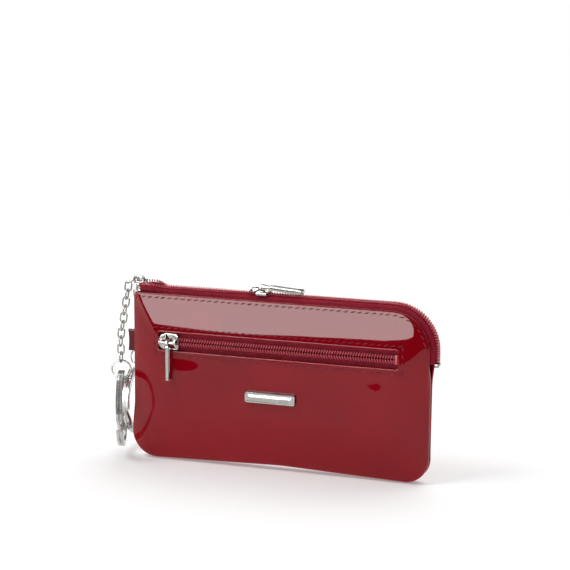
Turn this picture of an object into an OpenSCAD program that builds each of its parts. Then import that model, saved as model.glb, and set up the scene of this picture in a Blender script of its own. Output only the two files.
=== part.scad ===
// Zip key pouch: a patent leather case with a zip over its top, a zipped front pocket,
// and two chains with key rings that come out of the open end of the zip.
// X runs along the pouch, Y to its back and Z up. The floor is z = 0.

/* [Pouch] */
// Height of the leather panels
panel_h = 81; // [78:1:84]
// X of the left seam at the top
left_x = -74.2; // [-76:0.2:-73]
// X of the right seam at the top
right_x = 72; // [70:0.5:74]
// Half depth of the filled pouch
belly = 9; // [8.8:0.1:9.4]
// Half width of the mouth at the panels' top edges
mouth = 5; // [4.8:0.1:5.2]
// Thickness of the patent leather
leather_t = 1.2; // [1:0.1:1.3]
// Thickness of the lining cloth
lining_t = 0.35; // [0.3:0.05:0.4]
// Radius of the corner that the zip goes round
zip_corner_r = 18; // [16:1:20]

/* [Zips] */
// Width of one coil row
row_w = 1.95; // [1.8:0.05:2]
// Height of the main zip's coil
coil_h = 1.5; // [1.4:0.05:1.5]
// Height of the coil's base over the panel edge
coil_lift = 1.7; // [1.6:0.05:1.8]
// Thickness of the zip tape
tape_t = 0.45; // [0.35:0.05:0.5]
// X of the main slider
slider_x = -10.5; // [-40:0.5:40]
// Length of the main pull
main_pull_l = 20.5; // [16:0.5:22]
// Length of the pocket pull
pocket_pull_l = 17.5; // [16:0.5:23]

/* [Pocket] */
// Left end of the pocket opening
pocket_x0 = -59.5; // [-60:0.1:-59.4]
// Right end of the pocket opening
pocket_x1 = 57.7; // [50:0.5:58]
// Height of the pocket zip's centre line
pocket_z = 58.7; // [58:0.1:59]
// Height of the pocket opening
pocket_h = 8.6; // [8.6:0.1:9]

/* [Chains and rings] */
// Wire radius of a chain link
link_r = 0.4; // [0.35:0.05:0.4]
// Distance from one link to the next
link_pitch = 3.9; // [3.9:0.1:3.9]
// Radius of a jump ring, to its wire's centre
jump_ring_r = 4.45; // [4.45:0.05:4.6]
// Wire radius of a jump ring
jump_wire_r = 0.45; // [0.4:0.05:0.5]
// Inner radius of a split ring
split_r = 15.6; // [15:0.1:15.8]
// Radial width of a split ring
split_w = 2.6; // [2.2:0.1:2.8]
// Axial height of a split ring's two turns
split_h = 3.2; // [2.8:0.1:3.2]

/* [Hidden] */

leather = [0.45, 0.02, 0.07];
cloth = [0.2, 0.03, 0.05];
tape_red = [0.5, 0.1, 0.16];
nickel = [0.72, 0.72, 0.7];
thread = [0.55, 0.15, 0.2];

// ---- small helpers ----
function smooth(t) = let (u = min(1, max(0, t))) u * u * (3 - 2 * u);
function lerp(a, b, t) = a + (b - a) * t;
function unit(v) = v / norm(v);

// ---- the panels' outline in X and Z, as corners [x, z, radius] ----
corners = [[left_x, panel_h, 3], [right_x, panel_h, zip_corner_r], [right_x - 1, 0, 11],
    [-77.2, 0, 13], [left_x - 0.4, 27, 30]];
corner_steps = [5, 9, 7, 7, 2];
side_step = 15;

function corner_arc(a, b, c, steps) =
    let (p = [b[0], b[1]], r = b[2],
        u = unit([a[0], a[1]] - p), v = unit([c[0], c[1]] - p),
        half_angle = acos(u * v) / 2,
        centre = p + unit(u + v) * r / sin(half_angle),
        s = p + u * r / tan(half_angle) - centre,
        e = p + v * r / tan(half_angle) - centre,
        turn = (s[0] * e[1] - s[1] * e[0] < 0 ? -1 : 1) * acos(s * e / (r * r)))
    [for (i = [0:steps])
        let (t = turn * i / steps)
        centre + [s[0] * cos(t) - s[1] * sin(t), s[0] * sin(t) + s[1] * cos(t)]];

arc_points = [for (i = [0:len(corners) - 1])
    each corner_arc(corners[(i + len(corners) - 1) % len(corners)], corners[i],
        corners[(i + 1) % len(corners)], corner_steps[i])];
// straight stretches are divided, because the edge's depth changes along some of them
outline = [for (i = [0:len(arc_points) - 1])
    let (a = arc_points[i], b = arc_points[(i + 1) % len(arc_points)],
        parts = max(1, round(norm(b - a) / side_step)))
    for (k = [0:parts - 1]) lerp(a, b, k / parts)];

// the middle of the pouch is a level line that every point of the outline looks towards
mid_x0 = -48;
mid_x1 = 46;
mid_z = 40;
function middle(p) = [min(mid_x1, max(mid_x0, p[0])), mid_z];

// 1 along the zip, 0 along the seams
function openness(p) = smooth((p[0] - left_x + 0.3) / 3.3) * smooth((p[1] - 42) / 11);
// half depth at the outline: thin at the side seams, blunt at the bottom, open along the zip
foot_half = 2.8;
function seam_half(p) = lerp(foot_half, leather_t, smooth(p[1] / 16));
function edge_half(p) = lerp(seam_half(p), mouth, openness(p));
// half depth at the fraction s of the way in from the outline point p
ring_end = 0.94;
function swell(s) = sqrt(sin(90 * min(1, s / ring_end)));
function half_depth(p, s) = lerp(edge_half(p), belly, swell(s));

rings = [0, 0.02, 0.07, 0.16, 0.3, 0.5, 0.74, ring_end];

// one side's surface as rings of points, from the outline in to the middle; along the
// seams the folded leather fills the edge right in to the pouch's middle plane
function skin(side, inset, first) =
    [for (j = [first:len(rings) - 1]) for (p = outline)
        let (c = lerp(p, middle(p), rings[j]), y = half_depth(p, rings[j]) - inset)
        [c[0], side * (j == 0 && inset > 0 ? y * openness(p) : y), c[1]]];

function band_faces(n, a, b) =
    [for (i = [0:n - 1]) let (k = (i + 1) % n)
        each [[a + i, a + k, b + k], [a + i, b + k, b + i]]];
function flip(faces) = [for (f = faces) [for (i = [len(f) - 1:-1:0]) f[i]]];

// a curved sheet between two insets from the pouch's outer surface
module sheet(side, inset, thick, first) {
    n = len(outline);
    count = len(rings) - first;
    points = concat(skin(side, inset, first), skin(side, inset + thick, first));
    base = n * count;
    outer = concat([for (j = [0:count - 2]) each band_faces(n, j * n, (j + 1) * n)],
        [[for (i = [0:n - 1]) (count - 1) * n + i]]);
    inner = flip([for (f = outer) [for (i = f) i + base]]);
    rim = flip(band_faces(n, 0, base));
    faces = concat(outer, inner, rim);
    polyhedron(points, side > 0 ? faces : flip(faces), convexity = 8);
}

// ---- the main zip's path: along the top, round the corner and down the side ----
zip_x0 = -69.8;
zip_straight = right_x - zip_corner_r - zip_x0;
zip_arc = zip_corner_r * PI / 2;
zip_drop = 6;
zip_len = zip_straight + zip_arc + zip_drop;
// each station is [x, z, outward x, outward z] on the panels' edge
function zip_at(u) =
    u < zip_straight ? [zip_x0 + u, panel_h, 0, 1] :
    u < zip_straight + zip_arc ?
        let (a = 90 - (u - zip_straight) / zip_arc * 90)
        [right_x - zip_corner_r + zip_corner_r * cos(a),
            panel_h - zip_corner_r + zip_corner_r * sin(a), cos(a), sin(a)] :
    [right_x, panel_h - zip_corner_r - (u - zip_straight - zip_arc), 1, 0];

left_steps = 10;
arc_steps = 10;
spread_x = -58;
stations = concat([for (i = [0:left_steps - 1]) 16 * i / left_steps],
    [17, 24, 32, 38, 44, 50, 56, 64, 90, 110],
    [for (i = [0:arc_steps]) zip_straight + zip_arc * i / arc_steps], [zip_len]);

row_shut = 0.3;
row_parted = 1.15;
row_spread = 3.6;
// inner face of a row: shut to the slider's right, parted to its left, spread for the chains
function row_inner(x) =
    lerp(lerp(row_shut, row_parted, smooth((slider_x - 5 - x) / 18)), row_spread,
        smooth((spread_x - x) / 7));
// the rows rise over the left shoulder and come down at their end
function hump(x) = 1.4 * smooth((spread_x - x) / 7) * (1 - 0.6 * smooth((-68 - x) / 4));

tape_gap = 0.06;
function tape_profile(s) =
    let (e = edge_half(s) - leather_t - tape_gap, x = s[3] < 0.999 ? 0 : s[0],
        yi = row_inner(x), yo = min(yi + row_w, e + 0.9), d = coil_lift + hump(x))
    [[e, -3], [e, 0], [yo + 0.15, d], [yi, d],
        [yi, d - tape_t], [yo - 0.15, d - tape_t], [e - tape_t, -0.1], [e - tape_t, -3]];
function row_profile(s) =
    let (x = s[3] < 0.999 ? 0 : s[0], yi = row_inner(x), d = coil_lift + hump(x))
    [[yi + row_w, d], [yi + row_w, d + coil_h - 0.4], [yi + row_w - 0.4, d + coil_h],
        [yi + 0.3, d + coil_h], [yi, d + coil_h - 0.3], [yi, d]];

// sweeps a profile of [half width, height] points along the zip's path
module along_zip(side, profiles, end_caps) {
    n = len(profiles[0]);
    count = len(stations);
    points = [for (i = [0:count - 1]) let (s = zip_at(stations[i])) for (q = profiles[i])
        [s[0] + s[2] * q[1], side * q[0], s[1] + s[3] * q[1]]];
    walls = [for (j = [0:count - 2]) each band_faces(n, j * n, (j + 1) * n)];
    far_caps = [for (f = end_caps) [for (i = f) i + (count - 1) * n]];
    faces = concat(flip(walls), end_caps, flip(far_caps));
    polyhedron(points, side > 0 ? flip(faces) : faces, convexity = 8);
}

module main_tape(side) {
    along_zip(side, [for (u = stations) tape_profile(zip_at(u))],
        [[0, 1, 6, 7], [1, 2, 5, 6], [2, 3, 4, 5]]);
}

module main_row(side) {
    along_zip(side, [for (u = stations) row_profile(zip_at(u))],
        [[0, 1, 2, 3, 4, 5]]);
}

// ---- sliders: x along the zip, nose at -x, z = 0 on the coil's base ----
slider_gap = 0.15;
slider_t = 0.75;
slider_half_w = 3.85;
slider_channel = 3.25;
slider_tail = 4.6;
nose_r = 4;
nose_x = -1.4;
pin_r = 0.7;
pin_hole_r = 0.78;
pin_lift = 1;
bar_r = 0.65;
bar_hole_r = 0.73;
bar_lift = 2.1;

module slider_outline() {
    translate([nose_x, 0]) circle(r = nose_r, $fn = 48);
    translate([nose_x, -slider_half_w]) square([slider_tail - nose_x, 2 * slider_half_w]);
}

module slider_shell(coil) {
    top = coil + slider_gap;
    translate([0, 0, top]) linear_extrude(slider_t) slider_outline();
    translate([0, 0, 0.35]) linear_extrude(top - 0.35) difference() {
        slider_outline();
        translate([-9, -slider_channel]) square([18, 2 * slider_channel]);
    }
    translate([-2.4, -0.2, -0.8]) cube([3.4, 0.4, top + 0.85]);
    translate([-3.6, -2.2, -1.5]) cube([7.6, 4.4, slider_t]);
}

// the main slider's arch holds a cross pin
module pinned_slider(coil) {
    top = coil + slider_gap + slider_t;
    difference() {
        union() {
            slider_shell(coil);
            translate([0, 0.9, top]) rotate([90, 0, 0]) linear_extrude(1.8) union() {
                translate([0, pin_lift]) circle(r = 1.4, $fn = 32);
                translate([-3.6, -0.05]) square([7.2, 0.9]);
            }
        }
        translate([0, 2, top + pin_lift]) rotate([90, 0, 0]) cylinder(r = pin_hole_r, h = 4, $fn = 32);
    }
}

// the pocket slider's arch is a round bar along its travel
module barred_slider(coil) {
    top = coil + slider_gap + slider_t;
    slider_shell(coil);
    translate([-3.4, 0, top + bar_lift]) rotate([0, 90, 0]) cylinder(r = bar_r, h = 6.8, $fn = 32);
    for (x = [-4.2, 2.8]) translate([x, -0.8, top - 0.05]) cube([1.4, 1.6, bar_lift + bar_r + 0.05]);
}

// ---- chains ----
link_in_w = 2.4;
link_slack = 1.15;
link_half = (link_pitch + link_slack) / 2;
link_bend = link_in_w / 2 + link_r;

// one oval link between two crossing points; its width lies across the heading, or along it
module link(a, b, heading, across) {
    d = unit(b - a);
    w = [-sin(heading), cos(heading), 0];
    level = unit(w - (w * d) * d);
    wide = across ? level : cross(d, level);
    thin = cross(d, wide);
    c = (a + b) / 2;
    straight = 2 * (link_half - link_bend);
    multmatrix([[wide[0], thin[0], d[0], c[0]], [wide[1], thin[1], d[1], c[1]],
        [wide[2], thin[2], d[2], c[2]], [0, 0, 0, 1]])
    rotate([90, 0, 0]) {
        for (s = [-1, 1]) translate([0, s * straight / 2, 0])
            rotate([0, 0, s > 0 ? 0 : 180])
            rotate_extrude(angle = 180, $fn = 32) translate([link_bend, 0]) circle(r = link_r, $fn = 16);
        for (s = [-1, 1]) translate([s * link_bend, straight / 2, 0]) rotate([90, 0, 0])
            cylinder(r = link_r, h = straight, $fn = 16);
    }
}

// links between the points of a route, turned a quarter from one to the next
module chain(route, heading_from, heading_to, first_across) {
    n = len(route) - 1;
    for (i = [0:n - 1])
        link(route[i], route[i + 1], lerp(heading_from, heading_to, (i + 0.5) / n),
            (i % 2 == 0) == first_across);
}

function steps(from, to, n) = [for (i = [0:n]) lerp(from, to, i / n)];
// the point a given chain length away from a start, straight towards x, y and down
function hang(from, x, y, length) =
    [x, y, from[2] - sqrt(length * length - pow(x - from[0], 2) - pow(y - from[1], 2))];

// chain A: from the anchor ring over the pouch's shoulder
route_a = [[-66.4, -1, 71.6], [-66.4, -0.92, 75.5], [-66.4, -0.73, 79.4], [-67.16, -0.84, 83.22],
    [-69.59, -1.11, 86.26], [-73.44, -1.57, 86.72], [-76.57, -1.99, 84.43]];
hang_a_x = -81.3;
hang_a_y = -2;
links_a = 7;
start_a = route_a[len(route_a) - 1];
knee_a = hang(start_a, hang_a_x, hang_a_y, links_a * link_pitch);
foot_a = knee_a - [0, 0, 3 * link_pitch];
// chain B: the same, over the back of the shoulder
route_b = [[-69, 1, 68.8], [-69.76, 1, 72.62], [-70.34, 1, 76.48], [-70.73, 1.19, 80.36],
    [-72.59, 2.49, 83.53], [-75.17, 5.34, 84.15], [-77.14, 8.36, 82.67]];
hang_b_x = -78.5;
hang_b_y = 13.4;
links_b = 6;
start_b = route_b[len(route_b) - 1];
knee_b = hang(start_b, hang_b_x, hang_b_y, links_b * link_pitch);
foot_b = knee_b - [0, 0, 3 * link_pitch];

// a jump ring hangs 0.45 above the last crossing point; a split ring hangs inside it
function jump_centre(foot) = foot + [0, 0, 0.45 - jump_ring_r];
// the jump ring's curve lifts the split ring's edges by ring_gap
ring_gap = 0.38;
function split_centre(foot) = jump_centre(foot) + [0, 0, -jump_ring_r + jump_wire_r + ring_gap - split_r];
ring_turn_a = 19.5;
ring_turn_b = 0;

module jump_ring(centre, turn) {
    translate(centre) rotate([0, 0, turn]) rotate([90, 0, 0])
    rotate_extrude($fn = 64) translate([jump_ring_r, 0]) circle(r = jump_wire_r, $fn = 24);
}

module split_ring(centre, turn) {
    translate(centre) rotate([0, 0, turn]) rotate([0, 90, 0])
    rotate_extrude($fn = 96) translate([split_r, -split_h / 2]) square([split_w, split_h]);
}

// ---- stitches ----
stitch_pitch = 3.3;
stitch_l = 2.3;
stitch_w = 0.5;
stitch_t = 0.35;
stitch_float = 0.12;
stitch_inset = 1.9;

module stitch(x, y, z, turn) {
    translate([x, y, z]) rotate([0, turn, 0]) cube([stitch_l, stitch_t, stitch_w], center = true);
}

module zip_stitches(side) {
    span = zip_len - 6;
    for (i = [0:floor(span / stitch_pitch)]) {
        s = zip_at(3 + i * stitch_pitch);
        reach = norm([s[0], s[1]] - middle([s[0], s[1]]));
        y = half_depth([s[0], s[1]], stitch_inset / reach) + stitch_float + stitch_t / 2;
        stitch(s[0] - s[2] * stitch_inset, side * y, s[1] - s[3] * stitch_inset, atan2(s[2], s[3]));
    }
}

// ---- pocket ----
pocket_base_y = -6.1;
pocket_coil_h = 1.2;
pocket_tape_t = 0.4;
pocket_tape_w = 8.4;
pocket_slider_x = -53.8;
bag_x0 = -60;
bag_x1 = 57.5;
bag_z0 = 20;
bag_z1 = 66;
bag_t = 0.3;
bag_back_y = -0.9;
zip_end = 1.5;

module pocket_tape(up) {
    y = pocket_base_y;
    z = up > 0 ? pocket_z + row_shut : pocket_z - row_shut - pocket_tape_w;
    translate([pocket_x0 - zip_end, y, z])
    cube([pocket_x1 - pocket_x0 + 2 * zip_end, pocket_tape_t, pocket_tape_w]);
}

module pocket_row(up) {
    z = up > 0 ? pocket_z + row_shut : pocket_z - row_shut - row_w;
    translate([pocket_x0 + 1.6, pocket_base_y - pocket_coil_h, z])
    cube([pocket_x1 - pocket_x0 - 3.2, pocket_coil_h, row_w]);
}

module at_pocket_slider() {
    translate([pocket_slider_x, pocket_base_y, pocket_z]) rotate([90, 0, 0]) children();
}

module at_main_slider() {
    translate([slider_x, 0, panel_h + coil_lift]) children();
}

// ---- sub-parts ----
plaque_x0 = -15.5;
plaque_x1 = 9;
plaque_z = 35.8;
plaque_h = 5;
plaque_t = 0.9;
peg_r = 0.7;
peg_x = [-12.5, 6];

module front_panel() {
    color(leather) difference() {
        sheet(-1, 0, leather_t, 0);
        translate([pocket_x0, -belly - 1, pocket_z - pocket_h / 2])
        cube([pocket_x1 - pocket_x0, belly, pocket_h]);
        for (x = peg_x) translate([x, -4, plaque_z]) rotate([90, 0, 0])
            cylinder(r = peg_r, h = 6, $fn = 24);
    }
}

module back_panel() {
    color(leather) sheet(1, 0, leather_t, 0);
}

module front_lining() {
    color(cloth) difference() {
        sheet(-1, leather_t + 0.05, lining_t, 2);
        translate([pocket_x0, -belly - 1, pocket_z - pocket_h / 2])
        cube([pocket_x1 - pocket_x0, belly, pocket_h]);
    }
}

module back_lining() {
    color(cloth) sheet(1, leather_t + 0.05, lining_t, 2);
}

module pocket_bag_front() {
    top = pocket_z - row_shut - 4;
    color(cloth) translate([bag_x0, pocket_base_y + pocket_tape_t, bag_z0])
    cube([bag_x1 - bag_x0, bag_t, top - bag_z0]);
}

module pocket_bag_back() {
    y0 = pocket_base_y + pocket_tape_t + bag_t;
    color(cloth) difference() {
        translate([bag_x0, y0, bag_z0]) cube([bag_x1 - bag_x0, bag_back_y + bag_t - y0, bag_z1 - bag_z0]);
        translate([bag_x0 + bag_t, y0 - 1, bag_z0 + bag_t])
        cube([bag_x1 - bag_x0 - 2 * bag_t, bag_back_y - y0 + 1, bag_z1 - bag_z0 - 2 * bag_t]);
    }
}

module main_tape_front() { color(tape_red) main_tape(-1); }
module main_tape_back() { color(tape_red) main_tape(1); }
module main_coil_front() { color(tape_red) main_row(-1); }
module main_coil_back() { color(tape_red) main_row(1); }

// a small block clipped on each row at the left end
module main_left_stops() {
    z = panel_h + coil_lift + hump(zip_x0);
    yi = row_inner(zip_x0);
    color(nickel) for (side = [-1, 1])
        translate([zip_x0 - 1.3, side > 0 ? yi : -yi - row_w, z - tape_t]) cube([1.3, row_w, coil_h + tape_t]);
}

// one block across both rows at the lower right end
module main_right_stop() {
    z = panel_h - zip_corner_r - zip_drop;
    color(nickel) translate([right_x + coil_lift - tape_t, -row_shut - row_w, z - 1.8])
    cube([coil_h + tape_t, 2 * (row_shut + row_w), 1.8]);
}

module main_slider() { color(nickel) at_main_slider() pinned_slider(coil_h); }

pull_lean = 4;
module main_pull() {
    top = coil_h + slider_gap + slider_t;
    color(nickel) at_main_slider() translate([0, 0, top + pin_lift]) rotate([0, pull_lean, 0]) {
        rotate([90, 0, 0]) cylinder(r = pin_r, h = 3.4, center = true, $fn = 32);
        for (s = [-1, 1]) translate([0, s * 1.4 + 0.3, 0]) rotate([90, 0, 0]) linear_extrude(0.6) {
            circle(r = 0.9, $fn = 32);
            translate([0, -0.5]) square([4.6, 1]);
        }
        translate([0, 0, -0.5]) linear_extrude(1) polygon([[4.2, -1.7], [main_pull_l - 3, -1.5],
            [main_pull_l, -2.1], [main_pull_l, 2.1], [main_pull_l - 3, 1.5], [4.2, 1.7]]);
    }
}

module pocket_tape_upper() { color(tape_red) pocket_tape(1); }
module pocket_tape_lower() { color(tape_red) pocket_tape(-1); }
module pocket_coil_upper() { color(tape_red) pocket_row(1); }
module pocket_coil_lower() { color(tape_red) pocket_row(-1); }

module pocket_stop(x) {
    translate([x, pocket_base_y - pocket_coil_h, pocket_z - row_shut - row_w])
    cube([1.4, pocket_coil_h, 2 * (row_shut + row_w)]);
}
module pocket_left_stops() {
    color(nickel) difference() {
        pocket_stop(pocket_x0 + 0.2);
        translate([pocket_x0, -9, pocket_z - 0.3]) cube([2, 9, 0.6]);
    }
}
module pocket_right_stop() { color(tape_red) pocket_stop(pocket_x1 - 1.6); }

module pocket_slider() { color(nickel) at_pocket_slider() barred_slider(pocket_coil_h); }

// hangs from the bar by an eye, edge on to the front, and flares at its end
module pocket_pull() {
    top = pocket_coil_h + slider_gap + slider_t;
    eye_r = 1.5;
    color(nickel) at_pocket_slider() translate([0, 0, top + bar_lift]) difference() {
        union() {
            rotate([0, 90, 0]) cylinder(r = eye_r, h = 1.5, center = true, $fn = 32);
            translate([0, 0, -1]) linear_extrude(2) polygon([[-0.75, 0], [0.75, 0],
                [0.75, 3 - pocket_pull_l], [1.15, -pocket_pull_l],
                [-1.15, -pocket_pull_l], [-0.75, 3 - pocket_pull_l]]);
        }
        rotate([0, 90, 0]) cylinder(r = bar_hole_r, h = 6, center = true, $fn = 32);
    }
}

// the folded leather loop sewn into the left seam
loop_z0 = 51.2;
loop_z1 = 61.4;
loop_t = 2.2;
loop_reach = 4;
function seam_x(z) = lerp(left_x - 0.4, left_x, (z - 27) / (panel_h - 27)) ;
module side_loop() {
    color(leather) translate([0, loop_t / 2, 0]) rotate([90, 0, 0]) linear_extrude(loop_t)
    polygon([[seam_x(loop_z0), loop_z0], [seam_x(loop_z1), loop_z1],
        [seam_x(loop_z1) - loop_reach, loop_z1], [seam_x(loop_z0) - loop_reach, loop_z0]]);
}

module front_plaque() {
    color(nickel) {
        translate([plaque_x0, -belly - plaque_t, plaque_z - plaque_h / 2])
        cube([plaque_x1 - plaque_x0, plaque_t, plaque_h]);
        for (x = peg_x) translate([x, leather_t - belly, plaque_z]) rotate([90, 0, 0])
            cylinder(r = peg_r, h = leather_t + 0.1, $fn = 24);
    }
}

// two wire rings sewn in the tab; each stands across the first link of its chain
anchor_wire_r = 0.45;
anchor_slack = 0.1;
// how far a ring's top stands above the end of its chain's first link
anchor_rise = 0.4;
// [end of the chain, the ring's radius, its turn about Z]
anchors = [[route_a[0], 2.6, 90], [route_b[0], 2.1, 50]];
module anchor_rings(wire) {
    for (a = anchors) translate(a[0] + [0, 0, anchor_rise - a[1]]) rotate([0, 0, a[2]]) rotate([90, 0, 0])
        rotate_extrude($fn = 48) translate([a[1], 0]) circle(r = wire, $fn = 20);
}
module anchor_ring() { color(nickel) anchor_rings(anchor_wire_r); }
module anchor_tab() {
    color(leather) difference() {
        translate([-72.6, -1.6, 63.4]) cube([7.2, 3.2, 4.2]);
        anchor_rings(anchor_wire_r + anchor_slack);
    }
}

module chain_a_inner() { color(nickel) chain(route_a, 180, 180, false); }
module chain_a_upper() { color(nickel) chain(steps(start_a, knee_a, links_a), 180, 180, false); }
module chain_a_lower() { color(nickel) chain(steps(knee_a, foot_a, 3), 180, 180, true); }
module jump_ring_a() { color(nickel) jump_ring(jump_centre(foot_a), ring_turn_a); }
module split_ring_a() { color(nickel) split_ring(split_centre(foot_a), ring_turn_a); }
module chain_b_inner() { color(nickel) chain(route_b, 140, 115, false); }
module chain_b_upper() { color(nickel) chain(steps(start_b, knee_b, links_b), 120, 90, false); }
module chain_b_lower() { color(nickel) chain(steps(knee_b, foot_b, 3), 90, 90, false); }
module jump_ring_b() { color(nickel) jump_ring(jump_centre(foot_b), ring_turn_b); }
module split_ring_b() { color(nickel) split_ring(split_centre(foot_b), ring_turn_b); }

module stitches_front() { color(thread) zip_stitches(-1); }
module stitches_back() { color(thread) zip_stitches(1); }

// a rectangle of stitches round the pocket's opening
pocket_seam = 2.2;
module stitches_pocket() {
    x0 = pocket_x0 - pocket_seam;
    x1 = pocket_x1 + pocket_seam;
    z0 = pocket_z - pocket_h / 2 - pocket_seam;
    z1 = pocket_z + pocket_h / 2 + pocket_seam;
    along = floor((x1 - x0) / stitch_pitch);
    up = floor((z1 - z0) / stitch_pitch);
    color(thread) {
        for (i = [1:along - 1]) for (z = [z0, z1]) let (x = x0 + i * (x1 - x0) / along)
            stitch(x, -panel_y(x, z) - stitch_float - stitch_t / 2, z, 0);
        for (i = [1:up - 1]) for (x = [x0, x1]) let (z = z0 + i * (z1 - z0) / up)
            stitch(x, -panel_y(x, z) - stitch_float - stitch_t / 2, z, 90);
    }
}

// half depth over any point of the panel's upper middle, from the nearest stretch of outline
function panel_y(x, z) =
    let (q = middle([x, z]), d = [x, z] - q,
        up = (panel_h - q[1]) / max(d[1], 0.01),
        left = d[0] < 0 ? (left_x - q[0]) / d[0] : 1e6,
        right = d[0] > 0 ? (right_x - q[0]) / d[0] : 1e6,
        reach = min(up, left, right), p = q + d * reach)
    half_depth(p, 1 - 1 / reach);

front_panel();
back_panel();
front_lining();
back_lining();
pocket_bag_front();
pocket_bag_back();
main_tape_front();
main_tape_back();
main_coil_front();
main_coil_back();
main_left_stops();
main_right_stop();
main_slider();
main_pull();
pocket_tape_upper();
pocket_tape_lower();
pocket_coil_upper();
pocket_coil_lower();
pocket_left_stops();
pocket_right_stop();
pocket_slider();
pocket_pull();
side_loop();
front_plaque();
anchor_tab();
anchor_ring();
chain_a_inner();
chain_a_upper();
chain_a_lower();
jump_ring_a();
split_ring_a();
chain_b_inner();
chain_b_upper();
chain_b_lower();
jump_ring_b();
split_ring_b();
stitches_front();
stitches_back();
stitches_pocket();
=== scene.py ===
"""Zip key pouch in patent leather: every visible piece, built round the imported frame.

Sizes are in millimetres and become metres when a mesh is made. X runs along the
pouch, Y to its back and Z up; the floor is z = 0.
"""
import logging
import math
from dataclasses import dataclass, field
from enum import Enum
from typing import Callable, Optional, Sequence, Union

import bmesh
import bpy
from mathutils import Matrix, Vector, noise
from mathutils.bvhtree import BVHTree


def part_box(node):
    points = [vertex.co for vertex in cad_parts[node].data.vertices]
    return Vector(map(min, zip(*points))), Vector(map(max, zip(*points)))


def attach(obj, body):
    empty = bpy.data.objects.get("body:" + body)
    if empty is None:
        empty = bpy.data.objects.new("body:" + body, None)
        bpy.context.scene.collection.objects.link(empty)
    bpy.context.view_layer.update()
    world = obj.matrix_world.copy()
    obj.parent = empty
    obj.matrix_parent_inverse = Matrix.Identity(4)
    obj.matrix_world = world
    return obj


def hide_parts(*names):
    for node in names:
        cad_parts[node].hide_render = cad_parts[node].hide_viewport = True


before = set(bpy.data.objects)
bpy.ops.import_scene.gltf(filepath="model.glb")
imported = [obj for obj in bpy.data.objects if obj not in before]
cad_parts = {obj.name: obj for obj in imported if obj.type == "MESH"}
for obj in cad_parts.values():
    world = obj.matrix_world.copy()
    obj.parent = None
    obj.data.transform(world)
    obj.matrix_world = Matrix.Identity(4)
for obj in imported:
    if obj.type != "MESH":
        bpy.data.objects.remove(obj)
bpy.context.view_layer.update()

log = logging.getLogger("zip_pouch")
MM = 0.001
SHARP_ANGLE = math.radians(38)
HOME = "pouch"

Flat = tuple[float, float]
Loop = list[Vector]
Solid = tuple[list[Vector], list[list[int]]]
Section = Callable[[Sequence[float]], list[Flat]]
Feed = Union[bpy.types.NodeSocket, str, int, float, tuple[float, ...]]


class Slot(Enum):
    """The record's material slots."""

    PATENT = "patent_leather"
    TRIM = "leather_trim"
    LINING = "lining_cloth"
    TAPE = "zip_tape"
    COIL = "zip_coil"
    THREAD = "thread"
    NICKEL = "nickel"
    STEEL = "ring_steel"


class Side(Enum):
    """The two faces of the pouch, by the sign of Y."""

    FRONT = -1
    BACK = 1


def smooth(t: float) -> float:
    """Eases 0 to 1 over the unit interval."""
    u = min(1.0, max(0.0, t))
    return u * u * (3 - 2 * u)


def lerp(a: float, b: float, t: float) -> float:
    """Goes from a to b as t goes from 0 to 1."""
    return a + (b - a) * t


def arc(start: int, stop: int, step: int) -> list[float]:
    """Angles in radians from whole degrees, the stop left out."""
    return [math.radians(d) for d in range(start, stop, step)]


def circle(count: int) -> list[float]:
    """This many even angles round a full turn."""
    return [2 * math.pi * i / count for i in range(count)]


def rounded_corners(low: Flat, high: Flat, r: float, steps: int) -> list[Flat]:
    """Points of a rectangle's four rounded corners, from the far top one on.

    Args:
        low: The rectangle's low corner.
        high: Its high corner.
        r: The corners' radius.
        steps: Steps round each corner.

    Returns:
        The points, with nothing between one corner's last and the next one's first.
    """
    points: list[Flat] = []
    for cx, cz, start in ((high[0] - r, high[1] - r, 0), (low[0] + r, high[1] - r, 90),
                          (low[0] + r, low[1] + r, 180), (high[0] - r, low[1] + r, 270)):
        turns = (math.radians(start + 90 / steps * k) for k in range(steps + 1))
        points += [(cx + r * math.cos(a), cz + r * math.sin(a)) for a in turns]
    return points


def filled(line: Sequence[Flat], step: float) -> list[Flat]:
    """Puts even points into the sides of a closed line.

    Args:
        line: The corners of the line, which closes on itself.
        step: The length wanted between points.

    Returns:
        The corners and the points between them.
    """
    fine: list[Flat] = []
    for i, a in enumerate(line):
        b = line[(i + 1) % len(line)]
        parts = max(1, round(math.dist(a, b) / step))
        fine += [(lerp(a[0], b[0], k / parts), lerp(a[1], b[1], k / parts)) for k in range(parts)]
    return fine


def bell(distance: float, width: float) -> float:
    """A soft bump of height 1 that fades over the width."""
    return math.exp(-((distance / width) ** 2))


# ---------------------------------------------------------------- mesh makers
def bridge(loops: Sequence[Loop], closed_run: bool = False) -> Solid:
    """Joins loops of equal length into a closed shell.

    Args:
        loops: The loops in order, each with the same number of points.
        closed_run: True if the last loop joins the first.

    Returns:
        The shell's points and faces, with a flat cap at each open end.
    """
    n = len(loops[0])
    points = [p for loop in loops for p in loop]
    faces = []
    last = len(loops) if closed_run else len(loops) - 1
    for j in range(last):
        a, b = j * n, (j + 1) % len(loops) * n
        faces += [[a + i, a + (i + 1) % n, b + (i + 1) % n, b + i] for i in range(n)]
    if not closed_run:
        faces.append(list(range(n - 1, -1, -1)))
        faces.append([(len(loops) - 1) * n + i for i in range(n)])
    return points, faces


def together(solids: Sequence[Solid]) -> Solid:
    """Puts several shells in one.

    Args:
        solids: The shells, which stay apart.

    Returns:
        One list of points and one of faces.
    """
    points: list[Vector] = []
    faces: list[list[int]] = []
    for p, f in solids:
        faces += [[i + len(points) for i in face] for face in f]
        points += p
    return points, faces


def moved(solid: Solid, place: Matrix) -> Solid:
    """Turns and moves a shell."""
    return [place @ p for p in solid[0]], solid[1]


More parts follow.
